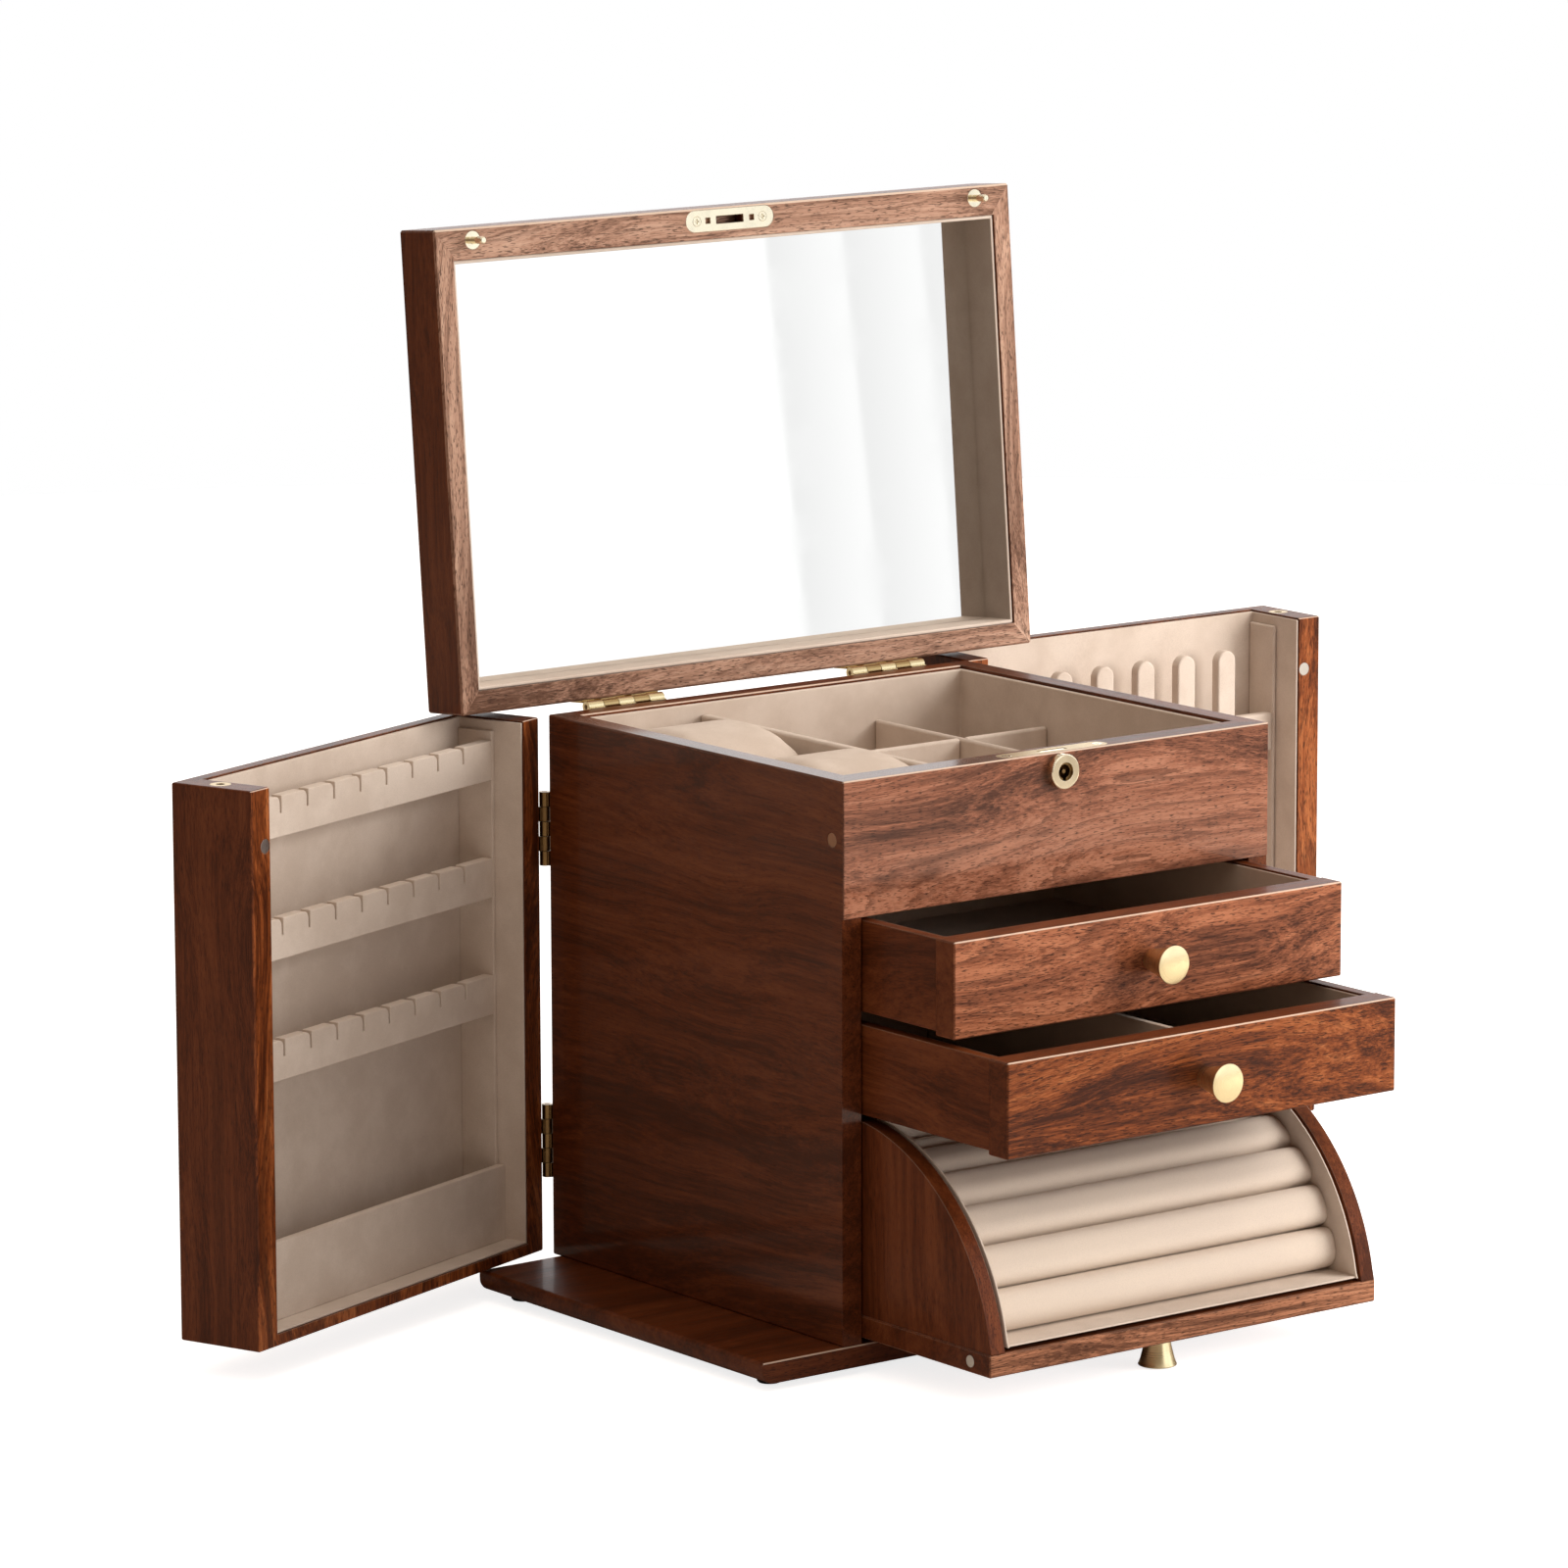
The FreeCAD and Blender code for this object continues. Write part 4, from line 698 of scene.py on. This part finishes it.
def ring_rolls(node, fabric):
    """Stuffed rolls pressed side by side about the ring tray's pivot, and the pad behind them."""
    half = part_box(node)[1].x
    bm = bmesh.new()
    for index in range(ROLL_COUNT):
        add_roll(bm, half, ROLL_FIRST + index * ROLL_STEP, ROLL_HALF_WIDTH, index)
    add_roll(bm, half, PAD_AT, PAD_HALF_WIDTH, ROLL_COUNT)
    mesh = bpy.data.meshes.new("ring_rolls_soft")
    bm.to_mesh(mesh)
    bm.free()
    obj = link("ring_rolls_soft", mesh)
    smooth_by_angle(obj, 50)
    dress(obj, fabric)
    stand_for(obj, node)


def add_roll(bm, half, angle, half_width, index):
    """One roll along X: a squarish round section where it is pressed, eased over at both ends."""
    outward = Vector((0, -sin(angle), cos(angle)))
    sideways = Vector((0, -cos(angle), -sin(angle)))
    rows = []
    for ring in range(ROLL_RINGS + 1):
        x = -half * cos(pi * ring / ROLL_RINGS)
        near_end = max(0.0, 1 - (half - abs(x)) / ROLL_END)
        drop = 1 - (1 - near_end ** 2) ** 0.5
        middle = RING_PIVOT + outward * ROLL_PATH + Vector((x, 0, 0))
        row = []
        for step in range(ROLL_AROUND):
            c, s = cos(2 * pi * step / ROLL_AROUND), sin(2 * pi * step / ROLL_AROUND)
            power = FREE if index == ROLL_COUNT - 1 and s > 0 else PRESSED
            reach = (abs(c) ** power + abs(s) ** power) ** (-1 / power)
            lump = noise.noise(Vector((x * 40, c * 1.3 + index * 7.3, s * 1.3)))
            reach *= 0.995 + ROLL_UNEVEN * lump
            up = ROLL_HALF_HEIGHT * reach * c * (1 - ROLL_DROP * drop)
            across = half_width * reach * s * (1 - ROLL_PINCH * drop)
            row.append(bm.verts.new(middle + outward * up + sideways * across))
        rows.append(row)
    for a, b in zip(rows, rows[1:]):
        for step in range(ROLL_AROUND):
            after = (step + 1) % ROLL_AROUND
            bm.faces.new((a[step], b[step], b[after], a[after]))
    bm.faces.new(rows[0])
    bm.faces.new(rows[-1][::-1])


def stand_off(obj, gap):
    """Slides the ring tray's thin cards in from the wood, leaving a dark joint all round."""
    side = max(vertex.co.x for vertex in obj.data.vertices)
    bottom = min(vertex.co.z for vertex in obj.data.vertices)
    reach = 1.1 * CARD_T
    for vertex in obj.data.vertices:
        depth = side - abs(vertex.co.x)
        if depth < reach:
            move = gap * (1 - GAP_TAPER * depth / CARD_T)
            vertex.co.x -= move if vertex.co.x > 0 else -move
        height = vertex.co.z - bottom
        if height < reach:
            vertex.co.z += gap * (1 - GAP_TAPER * height / CARD_T)


def build_soft_pieces(fabric, drawer_fabric):
    cards = {
        "top_tray_lining": (CARD_ROUND, fabric),
        "top_tray_dividers": (DIVIDER_ROUND, fabric),
        "lid_lining": (CARD_ROUND, velvet("lid_velvet", VELVET, VELVET_DEEP, 0.62)),
        "left_door_lining": (THIN_ROUND, fabric),
        "right_door_lining": (THIN_ROUND, fabric),
        "left_door_earring_rack": (THIN_ROUND, fabric),
        "right_door_necklace_rack": (RACK_ROUND, fabric),
        "upper_drawer_lining": (THIN_ROUND, drawer_fabric),
        "lower_drawer_lining": (THIN_ROUND, drawer_fabric),
        "ring_tray_lining": (CARD_ROUND, fabric),
        "ring_tray_bed": (THIN_ROUND, fabric),
    }
    rim_highlight_fabric = velvet("velvet_rim_highlight", RIM_HIGHLIGHT_VELVET, VELVET)
    covers = {}
    for node, (radius, material) in cards.items():
        covers[node] = covered_card(node, radius, material, rim_highlight_fabric)
    stand_off(covers["ring_tray_lining"], CARD_GAP)
    ring_rolls("ring_tray_rolls", velvet("roll_velvet", ROLL_VELVET, VELVET))
    for node in ("back_watch_pillow", "front_watch_pillow"):
        soft_pillow(node, fabric)


# ---- studio ----------------------------------------------------------------------------------
def area_light(name, location, target, size, power, colour):
    """A soft lamp that lights the chest but is never seen in its mirror."""
    data = bpy.data.lights.new(name, "AREA")
    data.shape = "RECTANGLE"
    data.size, data.size_y = size
    data.energy = power
    data.color = colour
    lamp = bpy.data.objects.new(name, data)
    lamp.location = location
    lamp.rotation_euler = (Vector(target) - Vector(location)).to_track_quat("-Z", "Y").to_euler()
    lamp.visible_glossy = False
    bpy.context.scene.collection.objects.link(lamp)


def plain_floor():
    """A pale table top that looks white to the camera and dim in reflections."""
    bm = bmesh.new()
    bmesh.ops.create_circle(bm, cap_ends=True, segments=96, radius=FLOOR_R)
    mesh = bpy.data.meshes.new("floor")
    bm.to_mesh(mesh)
    bm.free()
    floor = link("floor", mesh)
    graph = Graph("floor_paper")
    path = graph.add("ShaderNodeLightPath")
    paper = graph.noise(graph.coordinate, 6.0, 2.0)
    seen = graph.mix(paper, (0.86, 0.86, 0.86), (0.88, 0.88, 0.88))
    colour = graph.mix(path.outputs["Is Glossy Ray"], seen, (0.74, 0.69, 0.62))
    graph.set(Base_Color=colour, Roughness=0.9)
    lift = graph.math("MULTIPLY", path.outputs["Is Camera Ray"], FLOOR_LIFT)
    graph.set(Emission_Color=(1.0, 1.0, 1.0), Emission_Strength=lift)
    dress(floor, graph.material)


def surround():
    """White to the camera, with a tall bright window on the right and a dim warm room elsewhere."""
    world = bpy.data.worlds.new("studio")
    world.use_nodes = True
    tree = world.node_tree
    background = tree.nodes["Background"]
    sky = Surround(tree)
    x, y, z = sky.split(sky.coordinate)
    azimuth = sky.math("ARCTAN2", x, sky.math("MULTIPLY", y, -1.0))
    beside = sky.math("ABSOLUTE", sky.math("SUBTRACT", azimuth, WINDOW_SIDE))
    window = sky.remap(beside, *WINDOW_FADE, 1.0, 0.0)
    rise = sky.math("ABSOLUTE", z)
    window = sky.math("MULTIPLY", window, sky.remap(rise, *WINDOW_HEIGHT, 1.0, 0.0))
    fold = sky.math("DIVIDE", sky.math("SUBTRACT", azimuth, WINDOW_SIDE), CURTAIN_FOLD)
    shade = sky.math("SUBTRACT", FOLD_START, sky.math("FRACT", fold))
    shade = sky.math("MULTIPLY", shade, FOLD_DEPTH)
    shade = sky.math("MULTIPLY", shade, sky.math("GREATER_THAN", fold, 0.0))
    room = tuple(c * ROOM_STRENGTH for c in ROOM_COLOUR)
    glow = sky.mix(window, room, (WINDOW_STRENGTH,) * 3)
    overhead = sky.remap(z, 0.25, 0.9)
    glow = sky.mix(overhead, glow, SKY_COLOUR)
    curtain = sky.math("LESS_THAN", beside, CURTAIN_HALF)
    folds = sky.math("SUBTRACT", CURTAIN_BRIGHT, shade)
    mirrored = sky.math("MULTIPLY", curtain, sky.glossy)
    glow = sky.mix(mirrored, glow, sky.join(folds, folds, folds))
    behind = sky.math("ADD", sky.math("MULTIPLY", x, 0.6), sky.math("MULTIPLY", y, 0.8))
    behind = sky.math("MULTIPLY", sky.remap(behind, 0.75, 0.92), sky.glossy)
    glow = sky.mix(behind, glow, (WALL_STRENGTH,) * 3)
    glow = sky.mix(sky.camera, glow, (1.0, 1.0, 1.0))
    sky.put(background.inputs["Color"], glow)
    bpy.context.scene.world = world


def light_studio():
    surround()
    area_light("key", **KEY_LAMP)
    area_light("top", **TOP_LAMP)
    bpy.context.scene.view_settings.view_transform = "Standard"


def place_camera():
    data = bpy.data.cameras.new("camera")
    data.lens = LENS_MM
    data.sensor_width = SENSOR_MM
    data.clip_end = 100.0
    camera = bpy.data.objects.new("camera", data)
    camera.location = CAMERA_AT
    aim = (CAMERA_TARGET - CAMERA_AT).to_track_quat("-Z", "Y").to_matrix()
    camera.rotation_euler = (aim @ Matrix.Rotation(CAMERA_ROLL, 3, "Z")).to_euler()
    bpy.context.scene.collection.objects.link(camera)
    bpy.context.scene.camera = camera


def dress_dark_brass():
    """The fittings in darker brass: partly age and lost polish, partly painted shade in the keyhole
    and painted dark reflection on the door hinges and the lid's knuckles.
    """
    aged_and_shaded = metal("aged_shaded_brass", BRASS_AGED_AND_SHADED, 0.30)
    for node in AGED_AND_SHADED_BRASS:
        dress(NODES[node], aged_and_shaded)
    dull = metal("dull_brass", BRASS_WORN, 0.34)
    for node in DULL_BRASS:
        dress(NODES[node], dull)
    hinge = metal("hinge_brass", BRASS_AGED_AND_SHADED, 0.20, pale_above=HINGE_PALE_Z)
    dress(NODES["case_hinge_leaves"], hinge)
    # the lid's knuckles take the worn brass: partly wear, partly a painted dark reflection beside
    # the paler case knuckles
    dress(NODES["lid_hinge_leaves"], metal("lid_hinge_brass", BRASS_WORN, 0.20))


def build():
    fabric = velvet("velvet", VELVET, VELVET_DEEP)
    drawer_fabric = velvet("drawer_velvet", VELVET_DEEP, tuple(c * 0.8 for c in VELVET_DEEP))
    polished = metal("polished_brass", BRASS_PALE, 0.11)
    steel = metal("steel", STEEL, 0.34)
    dress_cad(fabric, polished, steel, mirror_glass("mirror"), foot_rubber("foot_rubber"))
    dress_dark_brass()
    dress(NODES["case_magnets"], metal("coppered_steel", COPPERED, 0.40))
    build_soft_pieces(fabric, drawer_fabric)
    satin = turned_metal("satin_brass", BRASS_WARM, 0.30)
    for node in KNOBS:
        turned_knob(node, satin)
    plain_floor()
    light_studio()
    place_camera()


build()
